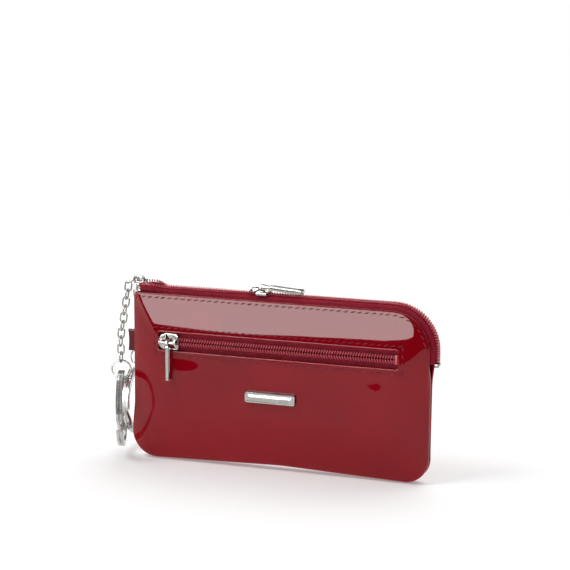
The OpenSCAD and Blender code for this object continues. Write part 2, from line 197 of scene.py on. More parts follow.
def prism(outline: Sequence[Flat], low: float, high: float) -> Solid:
    """Raises a flat outline in X and Y from low to high."""
    return bridge([[Vector((x, y, z)) for x, y in outline] for z in (low, high)])


def block(low: Sequence[float], high: Sequence[float]) -> Solid:
    """A box between two corners."""
    (x0, y0, z0), (x1, y1, z1) = low, high
    return prism([(x0, y0), (x1, y0), (x1, y1), (x0, y1)], z0, z1)


def rod(start: Vector, end: Vector, radii: Sequence[tuple[float, float]], count: int = 24) -> Solid:
    """A turned rod.

    Args:
        start: One end of its axis.
        end: The other end.
        radii: Pairs of a fraction along the axis and the radius there.
        count: The number of points round it.

    Returns:
        A closed shell.
    """
    axis = end - start
    u = axis.orthogonal().normalized()
    v = axis.cross(u).normalized()
    return bridge([[start + axis * t + (u * math.cos(a) + v * math.sin(a)) * r
                    for a in circle(count)] for t, r in radii])


def linked(name: str, data: bpy.types.ID) -> bpy.types.Object:
    """Links a new object to the scene.

    Args:
        name: The object's name.
        data: Its mesh, lamp or camera.

    Returns:
        The new object.
    """
    obj = bpy.data.objects.new(name, data)
    bpy.context.scene.collection.objects.link(obj)
    return obj


def set_shading(mesh: bpy.types.Mesh, bevel: float = 0.0, segments: int = 2) -> None:
    """Turns faces outward, rounds hard edges if asked, and shades smooth between them.

    Args:
        mesh: The mesh, changed in place.
        bevel: Width of the rounding in millimetres, or 0 for none.
        segments: Steps in the rounding.
    """
    bm = bmesh.new()
    bm.from_mesh(mesh)
    bmesh.ops.remove_doubles(bm, verts=bm.verts, dist=1e-7)
    bmesh.ops.recalc_face_normals(bm, faces=bm.faces)
    if bevel:
        hard = [e for e in bm.edges if e.is_manifold and e.calc_face_angle() > SHARP_ANGLE]
        bmesh.ops.bevel(bm, geom=hard, offset=bevel * MM, segments=segments, profile=0.5,
                        affect="EDGES", clamp_overlap=True)
    for face in bm.faces:
        face.smooth = True
    for edge in bm.edges:
        edge.smooth = not (edge.is_manifold and edge.calc_face_angle() > SHARP_ANGLE)
    bm.to_mesh(mesh)
    bm.free()


def make_piece(name: str, solid: Solid, finish: bpy.types.Material, bevel: float = 0.0,
               segments: int = 2) -> bpy.types.Object:
    """Makes an object from a shell in millimetres.

    Args:
        name: The object's name.
        solid: Points and faces.
        finish: Its material.
        bevel: Rounding of its hard edges, in millimetres.
        segments: Steps in that rounding.

    Returns:
        The new object, at the origin.
    """
    mesh = bpy.data.meshes.new(name)
    mesh.from_pydata([tuple(p * MM) for p in solid[0]], [], solid[1])
    set_shading(mesh, bevel, segments)
    mesh.materials.append(finish)
    return linked(name, mesh)


def settle(piece: bpy.types.Object, body: str, slot: Slot, *nodes: str) -> None:
    """Parents a piece to its body's empty and hides the nodes it stands for.

    Args:
        piece: The visible piece.
        body: The body it rides on.
        slot: Not used.
        *nodes: The nodes it stands for.
    """
    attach(piece, body)
    if nodes:
        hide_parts(*nodes)
    log.info("%s rides on %s, %d faces", piece.name, body, len(piece.data.polygons))


def baked(obj: bpy.types.Object, name: str) -> bpy.types.Object:
    """Replaces an object with its evaluated mesh.

    Args:
        obj: The object, which is removed with its mesh.
        name: The new object's name.

    Returns:
        An object without modifiers.
    """
    graph = bpy.context.evaluated_depsgraph_get()
    mesh = bpy.data.meshes.new_from_object(obj.evaluated_get(graph))
    mesh.name = name
    old = obj.data
    bpy.data.objects.remove(obj)
    bpy.data.meshes.remove(old)
    return linked(name, mesh)


def window_cut(piece: bpy.types.Object, name: str, window: Solid) -> bpy.types.Object:
    """Cuts a window through a piece.

    Args:
        piece: The piece, which is replaced.
        name: The new piece's name.
        window: The shell of what is taken away.

    Returns:
        The piece with the window, shaded again.
    """
    cutter = make_piece("window_cutter", window, piece.data.materials[0])
    cut = piece.modifiers.new("window", "BOOLEAN")
    cut.operation, cut.solver, cut.object = "DIFFERENCE", "EXACT", cutter
    piece = baked(piece, name)
    bpy.data.objects.remove(cutter)
    set_shading(piece.data)
    return piece


# ---------------------------------------------------------------- node trees
class TreeTool:
    """Adds nodes to one tree, with values or links given by socket."""

    def __init__(self, tree: bpy.types.NodeTree) -> None:
        """Keeps the tree and empties it."""
        self.tree = tree
        tree.nodes.clear()

    def add(self, kind: str, settings: Optional[dict[str, object]] = None,
            **values: Feed) -> bpy.types.Node:
        """Adds a node.

        Args:
            kind: The node's type.
            settings: Its properties.
            **values: Sockets by name with _ for a space, or by iN for number N; each
                value is a number, a vector, or another node's output.

        Returns:
            The node.
        """
        node = self.tree.nodes.new(kind)
        for key, value in (settings or {}).items():
            setattr(node, key, value)
        for key, value in values.items():
            numbered = key[0] == "i" and key[1:].isdigit()
            socket = node.inputs[int(key[1:])] if numbered else node.inputs[key.replace("_", " ")]
            if isinstance(value, bpy.types.NodeSocket):
                self.tree.links.new(value, socket)
            else:
                socket.default_value = value
        return node

    def math(self, operation: str, a: Feed, b: Feed = 0.0) -> bpy.types.NodeSocket:
        """Adds a Math node and gives its output."""
        return self.add("ShaderNodeMath", {"operation": operation}, i0=a, i1=b).outputs[0]

    def blend(self, factor: Feed, a: Feed, b: Feed) -> bpy.types.NodeSocket:
        """Mixes two colours and gives the result."""
        node = self.add("ShaderNodeMix", {"data_type": "RGBA"}, i0=factor, i6=a, i7=b)
        return node.outputs[2]

    def ramp(self, factor: Feed, low: float, high: float, a: float = 0.0,
             b: float = 1.0) -> bpy.types.NodeSocket:
        """Maps low..high to a..b, clamped, and gives the result."""
        node = self.add("ShaderNodeMapRange", None, i0=factor, i1=low, i2=high, i3=a, i4=b)
        return node.outputs[0]


@dataclass(frozen=True)
class GroupPlan:
    """A shader group's name and its named sockets."""

    name: str
    inputs: tuple[tuple[str, str, float], ...]
    outputs: tuple[str, ...]

    def start(self) -> tuple[bpy.types.NodeTree, TreeTool, bpy.types.Node]:
        """Makes the empty group with its sockets.

        Returns:
            The tree, its tool and its input node.
        """
        tree = bpy.data.node_groups.new(self.name, "ShaderNodeTree")
        for name, kind, value in self.inputs:
            socket = tree.interface.new_socket(name, in_out="INPUT", socket_type=kind)
            if kind == "NodeSocketFloat":
                socket.default_value = value
        for name in self.outputs:
            tree.interface.new_socket(name, in_out="OUTPUT", socket_type="NodeSocketFloat")
        tool = TreeTool(tree)
        return tree, tool, tree.nodes.new("NodeGroupInput")


def finish_group(tree: bpy.types.NodeTree, tool: TreeTool, **outputs: Feed) -> bpy.types.NodeTree:
    """Links a group's results to its output node."""
    tool.add("NodeGroupOutput", None, **outputs)
    return tree


def grain_group() -> bpy.types.NodeTree:
    """Fine pores and slow unevenness of a coated leather."""
    plan = GroupPlan("leather_grain", (("Vector", "NodeSocketVector", 0), ("Pores", "NodeSocketFloat", 900),
                                       ("Drift", "NodeSocketFloat", 30)), ("Height", "Tone"))
    tree, tool, given = plan.start()
    pores = tool.add("ShaderNodeTexVoronoi", {"feature": "SMOOTH_F1"}, Vector=given.outputs[0],
                     Scale=given.outputs[1], Smoothness=0.6)
    peel = tool.add("ShaderNodeTexNoise", None, Vector=given.outputs[0], Scale=given.outputs[1],
                    Detail=2.0)
    drift = tool.add("ShaderNodeTexNoise", None, Vector=given.outputs[0], Scale=given.outputs[2],
                     Detail=3.0)
    height = tool.math("ADD", tool.math("MULTIPLY", pores.outputs["Distance"], 0.5), peel.outputs[0])
    return finish_group(tree, tool, Height=height, Tone=drift.outputs[0])


def weave_group() -> bpy.types.NodeTree:
    """Twill or plain weave: raised threads that cross, with uneven yarn; the tone darkens where the weave
    lies low, a painted shade between the threads.
    """
    plan = GroupPlan("cloth_weave", (("Vector", "NodeSocketVector", 0), ("Threads", "NodeSocketFloat", 9000),
                                     ("Slant", "NodeSocketFloat", 1.0)), ("Height", "Tone"))
    tree, tool, given = plan.start()
    parts = tool.add("ShaderNodeSeparateXYZ", None, Vector=given.outputs[0])
    up = tool.math("ADD", parts.outputs[2], tool.math("MULTIPLY", parts.outputs[1], 0.8))
    along = tool.math("MULTIPLY", parts.outputs[0], given.outputs[1])
    across = tool.math("MULTIPLY", up, given.outputs[1])
    rib = tool.math("SINE", tool.math("ADD", along, tool.math("MULTIPLY", across, given.outputs[2])))
    cross = tool.math("SINE", across)
    yarn = tool.add("ShaderNodeTexNoise", None, Vector=given.outputs[0], Scale=700.0, Detail=2.0)
    height = tool.math("ADD", tool.math("MULTIPLY", rib, 0.5), tool.math("MULTIPLY", cross, 0.25))
    # Tone: painted shade, darker in the weave's low parts, plus random yarn tone
    shade_and_yarn_tone = tool.math("ADD", tool.ramp(height, -0.7, 0.7), tool.ramp(yarn.outputs[0], 0.3, 0.7, -0.25, 0.25))
    return finish_group(tree, tool, Height=height, Tone=shade_and_yarn_tone)


def wear_group() -> bpy.types.NodeTree:
    """Handling marks: slow smears and short fine scratches."""
    plan = GroupPlan("handling_marks", (("Vector", "NodeSocketVector", 0), ("Scale", "NodeSocketFloat", 200)),
                     ("Smear", "Scratch"))
    tree, tool, given = plan.start()
    smear = tool.add("ShaderNodeTexNoise", None, Vector=given.outputs[0], Scale=given.outputs[1],
                     Detail=4.0)
    turned = tool.add("ShaderNodeMapping", None, Vector=given.outputs[0], Scale=(1.0, 6.0, 6.0),
                      Rotation=(0.3, 0.5, 0.2))
    scratch = tool.add("ShaderNodeTexNoise", None, Vector=turned.outputs[0],
                       Scale=tool.math("MULTIPLY", given.outputs[1], 3.0), Detail=3.0)
    lines = tool.ramp(scratch.outputs[0], 0.6, 0.72)
    return finish_group(tree, tool, Smear=smear.outputs[0], Scratch=lines)


Colour = tuple[float, float, float, float]
Groups = dict[str, bpy.types.NodeTree]


def new_material(name: str) -> tuple[bpy.types.Material, TreeTool, bpy.types.NodeSocket]:
    """Starts a material.

    Args:
        name: The material's name.

    Returns:
        The material, its tree's tool and the socket of the object's own coordinates.
    """
    material = bpy.data.materials.new(name)
    material.use_nodes = True
    tool = TreeTool(material.node_tree)
    return material, tool, tool.add("ShaderNodeTexCoord").outputs["Object"]


def finish_material(tool: TreeTool, colour: Feed, rough: Feed, height: Feed, bump: Flat,
                    **settings: Feed) -> None:
    """Ends a material with one bumped shader.

    Args:
        tool: The tool of the material's tree.
        colour: The base colour.
        rough: The roughness.
        height: What raises the surface.
        bump: The bump's strength and distance.
        **settings: Other inputs of the shader by name.
    """
    normal = tool.add("ShaderNodeBump", None, Strength=bump[0], Distance=bump[1], Height=height)
    shader = tool.add("ShaderNodeBsdfPrincipled", None, Base_Color=colour, Roughness=rough,
                      Normal=normal.outputs[0], **settings)
    tool.add("ShaderNodeOutputMaterial", None, Surface=shader.outputs[0])


@dataclass(frozen=True)
class PatentLeather:
    """Lacquered leather: a deep dye under a hard clear film."""

    name: str
    dye: Colour = (0.360, 0.0006, 0.0085, 1.0)
    shade: Colour = (0.290, 0.0005, 0.0065, 1.0)
    film: float = 1.0
    film_rough: float = 0.025
    film_ior: float = 1.36
    bump: Flat = (0.10, 0.00006)

    def make(self, groups: Groups) -> bpy.types.Material:
        """Builds the material.

        Args:
            groups: The shared shader groups by name.

        Returns:
            The material.
        """
        material, tool, where = new_material(self.name)
        grain = tool.add("ShaderNodeGroup", {"node_tree": groups["grain"]}, Vector=where)
        marks = tool.add("ShaderNodeGroup", {"node_tree": groups["wear"]}, Vector=where, Scale=60.0)
        colour = tool.blend(tool.ramp(grain.outputs["Tone"], 0.3, 0.7), self.dye, self.shade)
        rough = tool.ramp(marks.outputs["Smear"], 0.3, 0.7, 0.30, 0.42)
        finish_material(tool, colour, rough, grain.outputs["Height"], self.bump,
                        Specular_IOR_Level=0.0, Coat_Weight=self.film,
                        Coat_Roughness=self.film_rough, Coat_IOR=self.film_ior)
        return material


@dataclass(frozen=True)
class Cloth:
    """Woven yarn: a zip tape, a lining or a thread; light is the yarn's own colour and dark its painted
    shade, laid where the weave lies low.
    """

    name: str
    light: Colour
    dark: Colour
    threads: float = 9000.0
    slant: float = 1.0
    relief: float = 0.00012
    rough: float = 0.75

    def make(self, groups: Groups) -> bpy.types.Material:
        """Builds the material.

        Args:
            groups: The shared shader groups by name.

        Returns:
            The material.
        """
        material, tool, where = new_material(self.name)
        weave = tool.add("ShaderNodeGroup", {"node_tree": groups["weave"]}, Vector=where,
                         Threads=self.threads, Slant=self.slant)
        # Painted shade: dark where the weave lies low, light on the raised threads, with random yarn tone
        colour = tool.blend(weave.outputs["Tone"], self.dark, self.light)
        rough = tool.ramp(weave.outputs["Tone"], 0.0, 1.0, self.rough + 0.1, self.rough - 0.1)
        finish_material(tool, colour, rough, weave.outputs["Height"], (0.8, self.relief),
                        Specular_IOR_Level=0.12)
        return material


@dataclass(frozen=True)
class Nylon:
    """The coil's dyed monofilament."""

    name: str
    light: Colour = (0.800, 0.110, 0.150, 1.0)
    dark: Colour = (0.600, 0.050, 0.080, 1.0)

    def make(self, groups: Groups) -> bpy.types.Material:
        """Builds the material.

        Args:
            groups: The shared shader groups by name.

        Returns:
            The material.
        """
        material, tool, where = new_material(self.name)
        marks = tool.add("ShaderNodeGroup", {"node_tree": groups["wear"]}, Vector=where, Scale=900.0)
        colour = tool.blend(tool.ramp(marks.outputs["Smear"], 0.3, 0.7), self.dark, self.light)
        rough = tool.ramp(marks.outputs["Smear"], 0.3, 0.7, 0.32, 0.5)
        finish_material(tool, colour, rough, marks.outputs["Scratch"], (0.2, 0.00004))
        return material


@dataclass(frozen=True)
class PlatedMetal:
    """Bright plated metal with handling marks."""

    name: str
    bright: Colour = (0.47, 0.46, 0.43, 1.0)
    dull: Colour = (0.31, 0.30, 0.28, 1.0)
    polish: float = 0.10

    def make(self, groups: Groups) -> bpy.types.Material:
        """Builds the material.

        Args:
            groups: The shared shader groups by name.

        Returns:
            The material.
        """
        material, tool, where = new_material(self.name)
        marks = tool.add("ShaderNodeGroup", {"node_tree": groups["wear"]}, Vector=where, Scale=260.0)
        colour = tool.blend(tool.ramp(marks.outputs["Smear"], 0.35, 0.75), self.bright, self.dull)
        smear = tool.ramp(marks.outputs["Smear"], 0.3, 0.75, self.polish, self.polish + 0.12)
        rough = tool.math("ADD", smear, tool.math("MULTIPLY", marks.outputs["Scratch"], 0.12))
        finish_material(tool, colour, rough, marks.outputs["Scratch"], (0.10, 0.00003),
                        Metallic=1.0)
        return material


class Finishes:
    """The pouch's materials, one for each slot."""

    def __init__(self) -> None:
        """Builds the shared groups and every material."""
        groups = {"grain": grain_group(), "weave": weave_group(), "wear": wear_group()}
        plans = {
            Slot.PATENT: PatentLeather("patent_leather_red"),
            Slot.TRIM: PatentLeather("leather_trim_red", (0.120, 0.003, 0.010, 1.0)),
            # Each Cloth's second colour is its painted shade, used in the weave's low parts
            Slot.LINING: Cloth("lining_cloth_dark", (0.09, 0.010, 0.018, 1.0),
                               (0.05, 0.005, 0.010, 1.0), 7000.0, 0.0),
            Slot.TAPE: Cloth("zip_tape_red", (0.540, 0.020, 0.060, 1.0), (0.22, 0.006, 0.020, 1.0)),
            Slot.COIL: Nylon("zip_coil_red"),
            Slot.THREAD: Cloth("sewing_thread_red", (0.560, 0.080, 0.120, 1.0),
                               (0.12, 0.006, 0.014, 1.0), 16000.0, 2.0, 0.00006, 0.5),
            Slot.NICKEL: PlatedMetal("nickel_bright"),
            Slot.STEEL: PlatedMetal("ring_steel_bright", (0.72, 0.72, 0.71, 1.0), polish=0.14),
        }
        self.of = {slot: plan.make(groups) for slot, plan in plans.items()}

    def __getitem__(self, slot: Slot) -> bpy.types.Material:
        """The slot's material."""
        return self.of[slot]


# ---------------------------------------------------------------- geometry trees
def sockets(tree: bpy.types.NodeTree, **sizes: float) -> None:
    """Gives a geometry tree its geometry, size and material sockets.

    Args:
        tree: The new tree.
        **sizes: The size sockets' names and defaults.
    """
    tree.interface.new_socket("Geometry", in_out="INPUT", socket_type="NodeSocketGeometry")
    for name, value in sizes.items():
        socket = tree.interface.new_socket(name, in_out="INPUT", socket_type="NodeSocketFloat")
        socket.default_value = value
    tree.interface.new_socket("Finish", in_out="INPUT", socket_type="NodeSocketMaterial")
    tree.interface.new_socket("Geometry", in_out="OUTPUT", socket_type="NodeSocketGeometry")


def close_tree(tool: TreeTool, given: bpy.types.Node, made: bpy.types.NodeSocket) -> None:
    """Ends a geometry tree: instances made real, shaded smooth, and given the finish.

    Args:
        tool: The tree's tool.
        given: The tree's input node.
        made: The geometry so far.
    """
    real = tool.add("GeometryNodeRealizeInstances", None, Geometry=made)
    shade = tool.add("GeometryNodeSetShadeSmooth", None, Geometry=real.outputs[0])
    dressed = tool.add("GeometryNodeSetMaterial", None, Geometry=shade.outputs[0],
                       Material=given.outputs["Finish"])
    tool.add("NodeGroupOutput", None, Geometry=dressed.outputs[0])


def tube(tool: TreeTool, line: bpy.types.NodeSocket, radius: Feed,
         around: int) -> bpy.types.NodeSocket:
    """Gives a curve a round section.

    Args:
        tool: The tree's tool.
        line: The curve.
        radius: The section's radius.
        around: The number of points round it.

    Returns:
        The tube's mesh socket.
    """
    ring = tool.add("GeometryNodeCurvePrimitiveCircle", None, Resolution=around, Radius=radius)
    pipe = tool.add("GeometryNodeCurveToMesh", None, Curve=line, Profile_Curve=ring.outputs[0])
    if "Fill Caps" in pipe.inputs:
        pipe.inputs["Fill Caps"].default_value = True
    return pipe.outputs[0]


def points_along(tool: TreeTool, given: bpy.types.Node, outward: Optional[bpy.types.NodeSocket]
                 ) -> tuple[bpy.types.NodeSocket, bpy.types.NodeSocket]:
    """Even points along the given path, with X forward and Z outward there.

    Args:
        tool: The tree's tool.
        given: The tree's input node, with a Pitch.
        outward: A vector socket that Z turns towards, or None for upright to the path and Y.

    Returns:
        The curve's socket and the rotation's socket.
    """
    line = tool.add("GeometryNodeMeshToCurve", None, Mesh=given.outputs["Geometry"])
    even = tool.add("GeometryNodeResampleCurve", {"mode": "LENGTH"}, Curve=line.outputs[0],
                    Length=given.outputs["Pitch"])
    tangent = tool.add("GeometryNodeInputTangent").outputs[0]
    if outward is None:
        side = tool.add("ShaderNodeVectorMath", {"operation": "CROSS_PRODUCT"}, i0=tangent,
                        i1=(0.0, 1.0, 0.0))
        outward = side.outputs[0]
    turn = tool.add("FunctionNodeAxesToRotation", {"primary_axis": "X", "secondary_axis": "Z"},
                    i0=tangent, i1=outward)
    return even.outputs[0], turn.outputs[0]


def coil_tree() -> bpy.types.NodeTree:
    """Winds of a zip coil along a path: one flattened, leaning ring for each tooth."""
    tree = bpy.data.node_groups.new("coil_row", "GeometryNodeTree")
    sockets(tree, Pitch=1.27 * MM, Wire=0.28 * MM, Half_Width=0.98 * MM, Half_Height=0.7 * MM,
            Lean=0.2)
    tool = TreeTool(tree)
    given = tree.nodes.new("NodeGroupInput")
    at, turn = points_along(tool, given, None)
    ring = tool.add("GeometryNodeCurvePrimitiveCircle", None, Resolution=12, Radius=1.0)
    size = tool.add("ShaderNodeCombineXYZ", None, X=given.outputs["Half_Height"],
                    Y=given.outputs["Half_Width"], Z=1.0)
    tilt = tool.add("ShaderNodeCombineXYZ", None, Y=math.pi / 2, Z=given.outputs["Lean"])
    wind = tool.add("GeometryNodeTransform", None, Geometry=ring.outputs[0], Scale=size.outputs[0])
    to_turn = tool.add("FunctionNodeEulerToRotation", None, i0=tilt.outputs[0])
    tool.tree.links.new(to_turn.outputs[0], wind.inputs["Rotation"])
    tooth = tube(tool, wind.outputs[0], given.outputs["Wire"], 6)
    placed = tool.add("GeometryNodeInstanceOnPoints", None, Points=at, Instance=tooth, Rotation=turn)
    close_tree(tool, given, placed.outputs[0])
    return tree


def stitch_tree() -> bpy.types.NodeTree:
    """Short twisted stitches that lie along a path on a face of the pouch."""
    tree = bpy.data.node_groups.new("stitch_row", "GeometryNodeTree")
    sockets(tree, Pitch=3.3 * MM, Length=2.5 * MM, Thick=0.6 * MM, Slant=0.2, Facing=-1.0)
    tool = TreeTool(tree)
    given = tree.nodes.new("NodeGroupInput")
    facing = tool.add("ShaderNodeCombineXYZ", None, Y=given.outputs["Facing"])
    at, turn = points_along(tool, given, facing.outputs[0])
    ball = tool.add("GeometryNodeMeshUVSphere", None, Segments=10, Rings=8, Radius=0.5)
    size = tool.add("ShaderNodeCombineXYZ", None, X=given.outputs["Length"],
                    Y=given.outputs["Thick"], Z=given.outputs["Thick"])
    tilt = tool.add("ShaderNodeCombineXYZ", None, Z=given.outputs["Slant"])
    to_turn = tool.add("FunctionNodeEulerToRotation", None, i0=tilt.outputs[0])
    one = tool.add("GeometryNodeTransform", None, Geometry=ball.outputs[0], Scale=size.outputs[0])
    tool.tree.links.new(to_turn.outputs[0], one.inputs["Rotation"])
    placed = tool.add("GeometryNodeInstanceOnPoints", None, Points=at, Instance=one.outputs[0],
                      Rotation=turn)
    close_tree(tool, given, placed.outputs[0])
    return tree


def link_tree() -> bpy.types.NodeTree:
    """Oval chain links on points that hold each link's two directions."""
    tree = bpy.data.node_groups.new("chain_links", "GeometryNodeTree")
    sockets(tree, Wire=0.4 * MM, Width=3.2 * MM, Length=5.05 * MM)
    tool = TreeTool(tree)
    given = tree.nodes.new("NodeGroupInput")
    oval = tool.add("GeometryNodeCurvePrimitiveQuadrilateral", None, i0=given.outputs["Width"],
                    i1=given.outputs["Length"])
    bend = tool.math("MULTIPLY", given.outputs["Width"], 0.499)
    round_ends = tool.add("GeometryNodeFilletCurve", {"mode": "POLY"}, Curve=oval.outputs[0],
                          Count=7, Radius=bend)
    link = tube(tool, round_ends.outputs[0], given.outputs["Wire"], 12)
    along = tool.add("GeometryNodeInputNamedAttribute", {"data_type": "FLOAT_VECTOR"}, Name="along")
    wide = tool.add("GeometryNodeInputNamedAttribute", {"data_type": "FLOAT_VECTOR"}, Name="wide")
    turn = tool.add("FunctionNodeAxesToRotation", {"primary_axis": "Y", "secondary_axis": "X"},
                    i0=along.outputs[0], i1=wide.outputs[0])
    placed = tool.add("GeometryNodeInstanceOnPoints", None, Points=given.outputs["Geometry"],
                      Instance=link, Rotation=turn.outputs[0])
    close_tree(tool, given, placed.outputs[0])
    return tree


def grow(name: str, base: bpy.types.Mesh, tree: bpy.types.NodeTree, finish: bpy.types.Material,
         **sizes: float) -> bpy.types.Object:
    """Runs a geometry tree on a base mesh and keeps the plain result.

    Args:
        name: The piece's name.
        base: The path or the points.
        tree: The geometry tree.
        finish: The material that the tree sets.
        **sizes: The tree's inputs by name.

    Returns:
        A plain mesh object.
    """
    obj = linked(name + "_base", base)
    modifier = obj.modifiers.new("grow", "NODES")
    modifier.node_group = tree
    keys = {s.name: s.identifier for s in tree.interface.items_tree if s.in_out == "INPUT"}
    modifier[keys["Finish"]] = finish
    for key, value in sizes.items():
        modifier[keys[key]] = value
    return baked(obj, name)


def path_mesh(name: str, *lines: Sequence[Vector]) -> bpy.types.Mesh:
    """Runs of edges through points.

    Args:
        name: The mesh's name.
        *lines: The points of each run, in millimetres.

    Returns:
        A mesh with one run of edges for each line.
    """
    mesh = bpy.data.meshes.new(name)
    points, edges = [], []
    for line in lines:
        edges += [(len(points) + i, len(points) + i + 1) for i in range(len(line) - 1)]
        points += [tuple(p * MM) for p in line]
    mesh.from_pydata(points, edges, [])
    return mesh


# ---------------------------------------------------------------- the pouch's form
@dataclass(frozen=True)
class Crease:
    """The bowed hollow in the front leather beside the left seam."""

    x: float = -69.0
    z: float = 29.0
    bow: float = 5.5
    reach: float = 17.0
    sunk: float = 0.95
    width: float = 2.4
    top: Flat = (48.0, 9.0)
    bottom: Flat = (9.0, 8.0)

    def hollow(self, x: float, z: float) -> float:
        """How far it sinks the leather.

        Args:
            x: Along the pouch.
            z: Up the pouch.

        Returns:
            The distance in millimetres.
        """
        middle = self.x - self.bow * ((z - self.z) / self.reach) ** 2
        ends = smooth((self.top[0] - z) / self.top[1]), smooth((z - self.bottom[0]) / self.bottom[1])
        return self.sunk * bell(x - middle, self.width) * ends[0] * ends[1]


@dataclass
class PouchShape:
    """The pouch's outline, its swell, and the path of its zip."""

    panel_h: float = 81.0
    left_x: float = -74.2
    right_x: float = 72.0
    belly: float = 9.0
    mouth: float = 5.0
    foot: float = 2.6
    leather: float = 1.2
    corner_r: float = 18.0
    zip_x0: float = -69.8
    zip_drop: float = 6.0
    slider_x: float = -10.5
    spread_x: float = -58.0
    row_w: float = 1.95
    lift: float = 1.7
    coil_h: float = 1.5
    swell_end: float = 0.94
    mid_x: Flat = (-48.0, 46.0)
    mid_z: float = 40.0
    step: float = 2.2
    foot_fade: float = 16.0
    open_side: Flat = (0.3, 3.3)
    open_z: Flat = (46.0, 11.0)
    hollow: float = 0.55
    waves: tuple[tuple[float, ...], ...] = ((0.20, 36, 20, 0), (0.05, 15, 12, 9))
    rim: float = 0.14
    crease: Crease = Crease()
    puffs: tuple[tuple[float, ...], ...] = ((4, 28, 24, 9, 0.60), (46, 44, 14, 9, 0.45),
                                            (-48, 47, 13, 7, 0.40))
    rows_shut: float = 0.3
    rows_parted: float = 1.15
    rows_spread: float = 3.6
    parting: Flat = (5.0, 18.0)
    spreading: float = 7.0
    hump_h: float = 1.4
    edge: list[Flat] = field(default_factory=list)
    faces: dict[Side, BVHTree] = field(default_factory=dict)
    normals: list[Flat] = field(default_factory=list)

    def __post_init__(self) -> None:
        """Traces the outline and its outward directions."""
        corners = [(self.left_x, self.panel_h, 3.0), (self.right_x, self.panel_h, self.corner_r),
                   (self.right_x - 1, 0.0, 11.0), (0.0, 2.2, 120.0), (-77.2, 0.0, 13.0),
                   (self.left_x - 0.4, 27.0, 30.0)]
        arcs: list[Flat] = []
        for i, (x, z, r) in enumerate(corners):
            before, here, after = corners[i - 1], Vector((x, z)), corners[(i + 1) % len(corners)]
            u = (Vector(before[:2]) - here).normalized()
            v = (Vector(after[:2]) - here).normalized()
            half = u.angle(v) / 2
            centre = here + (u + v).normalized() * (r / math.sin(half))
            start = here + u * (r / math.tan(half)) - centre
            turn = start.angle_signed(here + v * (r / math.tan(half)) - centre)
            steps = max(4, round(abs(math.degrees(turn)) / 4))
            for k in range(steps + 1):
                a = -turn * k / steps
                arcs.append((centre.x + start.x * math.cos(a) - start.y * math.sin(a),
                             centre.y + start.x * math.sin(a) + start.y * math.cos(a)))
        self.edge = filled(arcs, self.step)
        count = len(self.edge)
        for i in range(count):
            (x0, z0), (x1, z1) = self.edge[i - 1], self.edge[(i + 1) % count]
            size = math.hypot(x1 - x0, z1 - z0)
            self.normals.append((-(z1 - z0) / size, (x1 - x0) / size))

    def middle(self, x: float) -> Flat:
        """The point of the level middle line that looks at this X."""
        return min(self.mid_x[1], max(self.mid_x[0], x)), self.mid_z

    def openness(self, x: float, z: float) -> float:
        """1 along the zip, 0 along the seams."""
        side, low = self.open_side, self.open_z
        return smooth((x - self.left_x + side[0]) / side[1]) * smooth((z - low[0]) / low[1])

    def edge_half(self, x: float, z: float) -> float:
        """Half depth at the outline: thin at the side seams, blunt at the bottom, open at the zip."""
        seam = lerp(self.foot, self.leather, smooth(z / self.foot_fade))
        return lerp(seam, self.mouth, self.openness(x, z))

    def half_depth(self, x: float, z: float, s: float) -> float:
        """Half depth at the fraction s of the way in from the outline point."""
        rise = math.sqrt(math.sin(math.pi / 2 * min(1.0, s / self.swell_end)))
        return lerp(self.edge_half(x, z), self.belly, rise)

    def relief(self, side: Side, x: float, z: float, s: float) -> float:
        """How far the leather lies inside the plain swell: slow waves and a crease.

        Args:
            side: The face.
            x: Along the pouch.
            z: Up the pouch.
            s: The fraction of the way in from the outline.

        Returns:
            The distance in millimetres.
        """
        seed = 3.1 * side.value
        dip = self.hollow + sum(tall * noise.noise(Vector((x / wide, seed + far, z / high)))
                                for tall, wide, high, far in self.waves)
        if side is Side.FRONT:
            dip += self.crease.hollow(x, z)
        return dip * smooth(s / self.rim)

    def puff(self, x: float, z: float) -> float:
        """How far the front leather sinks or swells at its soft dents."""
        return sum(lift * (z - at_z) / tall * bell(z - at_z, tall) * bell(x - at_x, wide)
                   for at_x, at_z, wide, tall, lift in self.puffs)

    def depth(self, side: Side, x: float, z: float) -> float:
        """The outer leather's half depth over a point of the face.

        Args:
            side: The face, whose panel has been made.
            x: Along the pouch.
            z: Up the pouch.

        Returns:
            The distance from the middle plane.
        """
        start = Vector((x * MM, side.value * 0.05, z * MM))
        hit = self.faces[side].ray_cast(start, Vector((0, -side.value, 0)))[0]
        return abs(hit.y) / MM if hit else self.belly

    def zip_length(self) -> float:
        """Length of the zip's path."""
        return self.right_x - self.corner_r - self.zip_x0 + self.corner_r * math.pi / 2 + self.zip_drop

    def zip_at(self, u: float) -> tuple[float, float, float, float]:
        """A station of the zip's path on the panels' edge.

        Args:
            u: The length run from the left end.

        Returns:
            X and Z of the point, and X and Z of its outward direction.
        """
        straight = self.right_x - self.corner_r - self.zip_x0
        bend = self.corner_r * math.pi / 2
        if u < straight:
            return self.zip_x0 + u, self.panel_h, 0.0, 1.0
        if u < straight + bend:
            a = math.pi / 2 * (1 - (u - straight) / bend)
            return (self.right_x - self.corner_r * (1 - math.cos(a)),
                    self.panel_h - self.corner_r * (1 - math.sin(a)), math.cos(a), math.sin(a))
        return self.right_x, self.panel_h - self.corner_r - (u - straight - bend), 1.0, 0.0

    def row_inner(self, x: float) -> float:
        """Inner face of a coil row: shut right of the slider, parted left of it.

        Args:
            x: Along the pouch.

        Returns:
            The distance from the middle plane.
        """
        wedge, run = self.parting
        parted = lerp(self.rows_shut, self.rows_parted, smooth((self.slider_x - wedge - x) / run))
        return lerp(parted, self.rows_spread, smooth((self.spread_x - x) / self.spreading))

    def hump(self, x: float) -> float:
        """Rise of the rows over the left shoulder."""
        rise = self.hump_h * smooth((self.spread_x - x) / self.spreading)
        return rise * (1 - 0.6 * smooth((-68 - x) / 4))


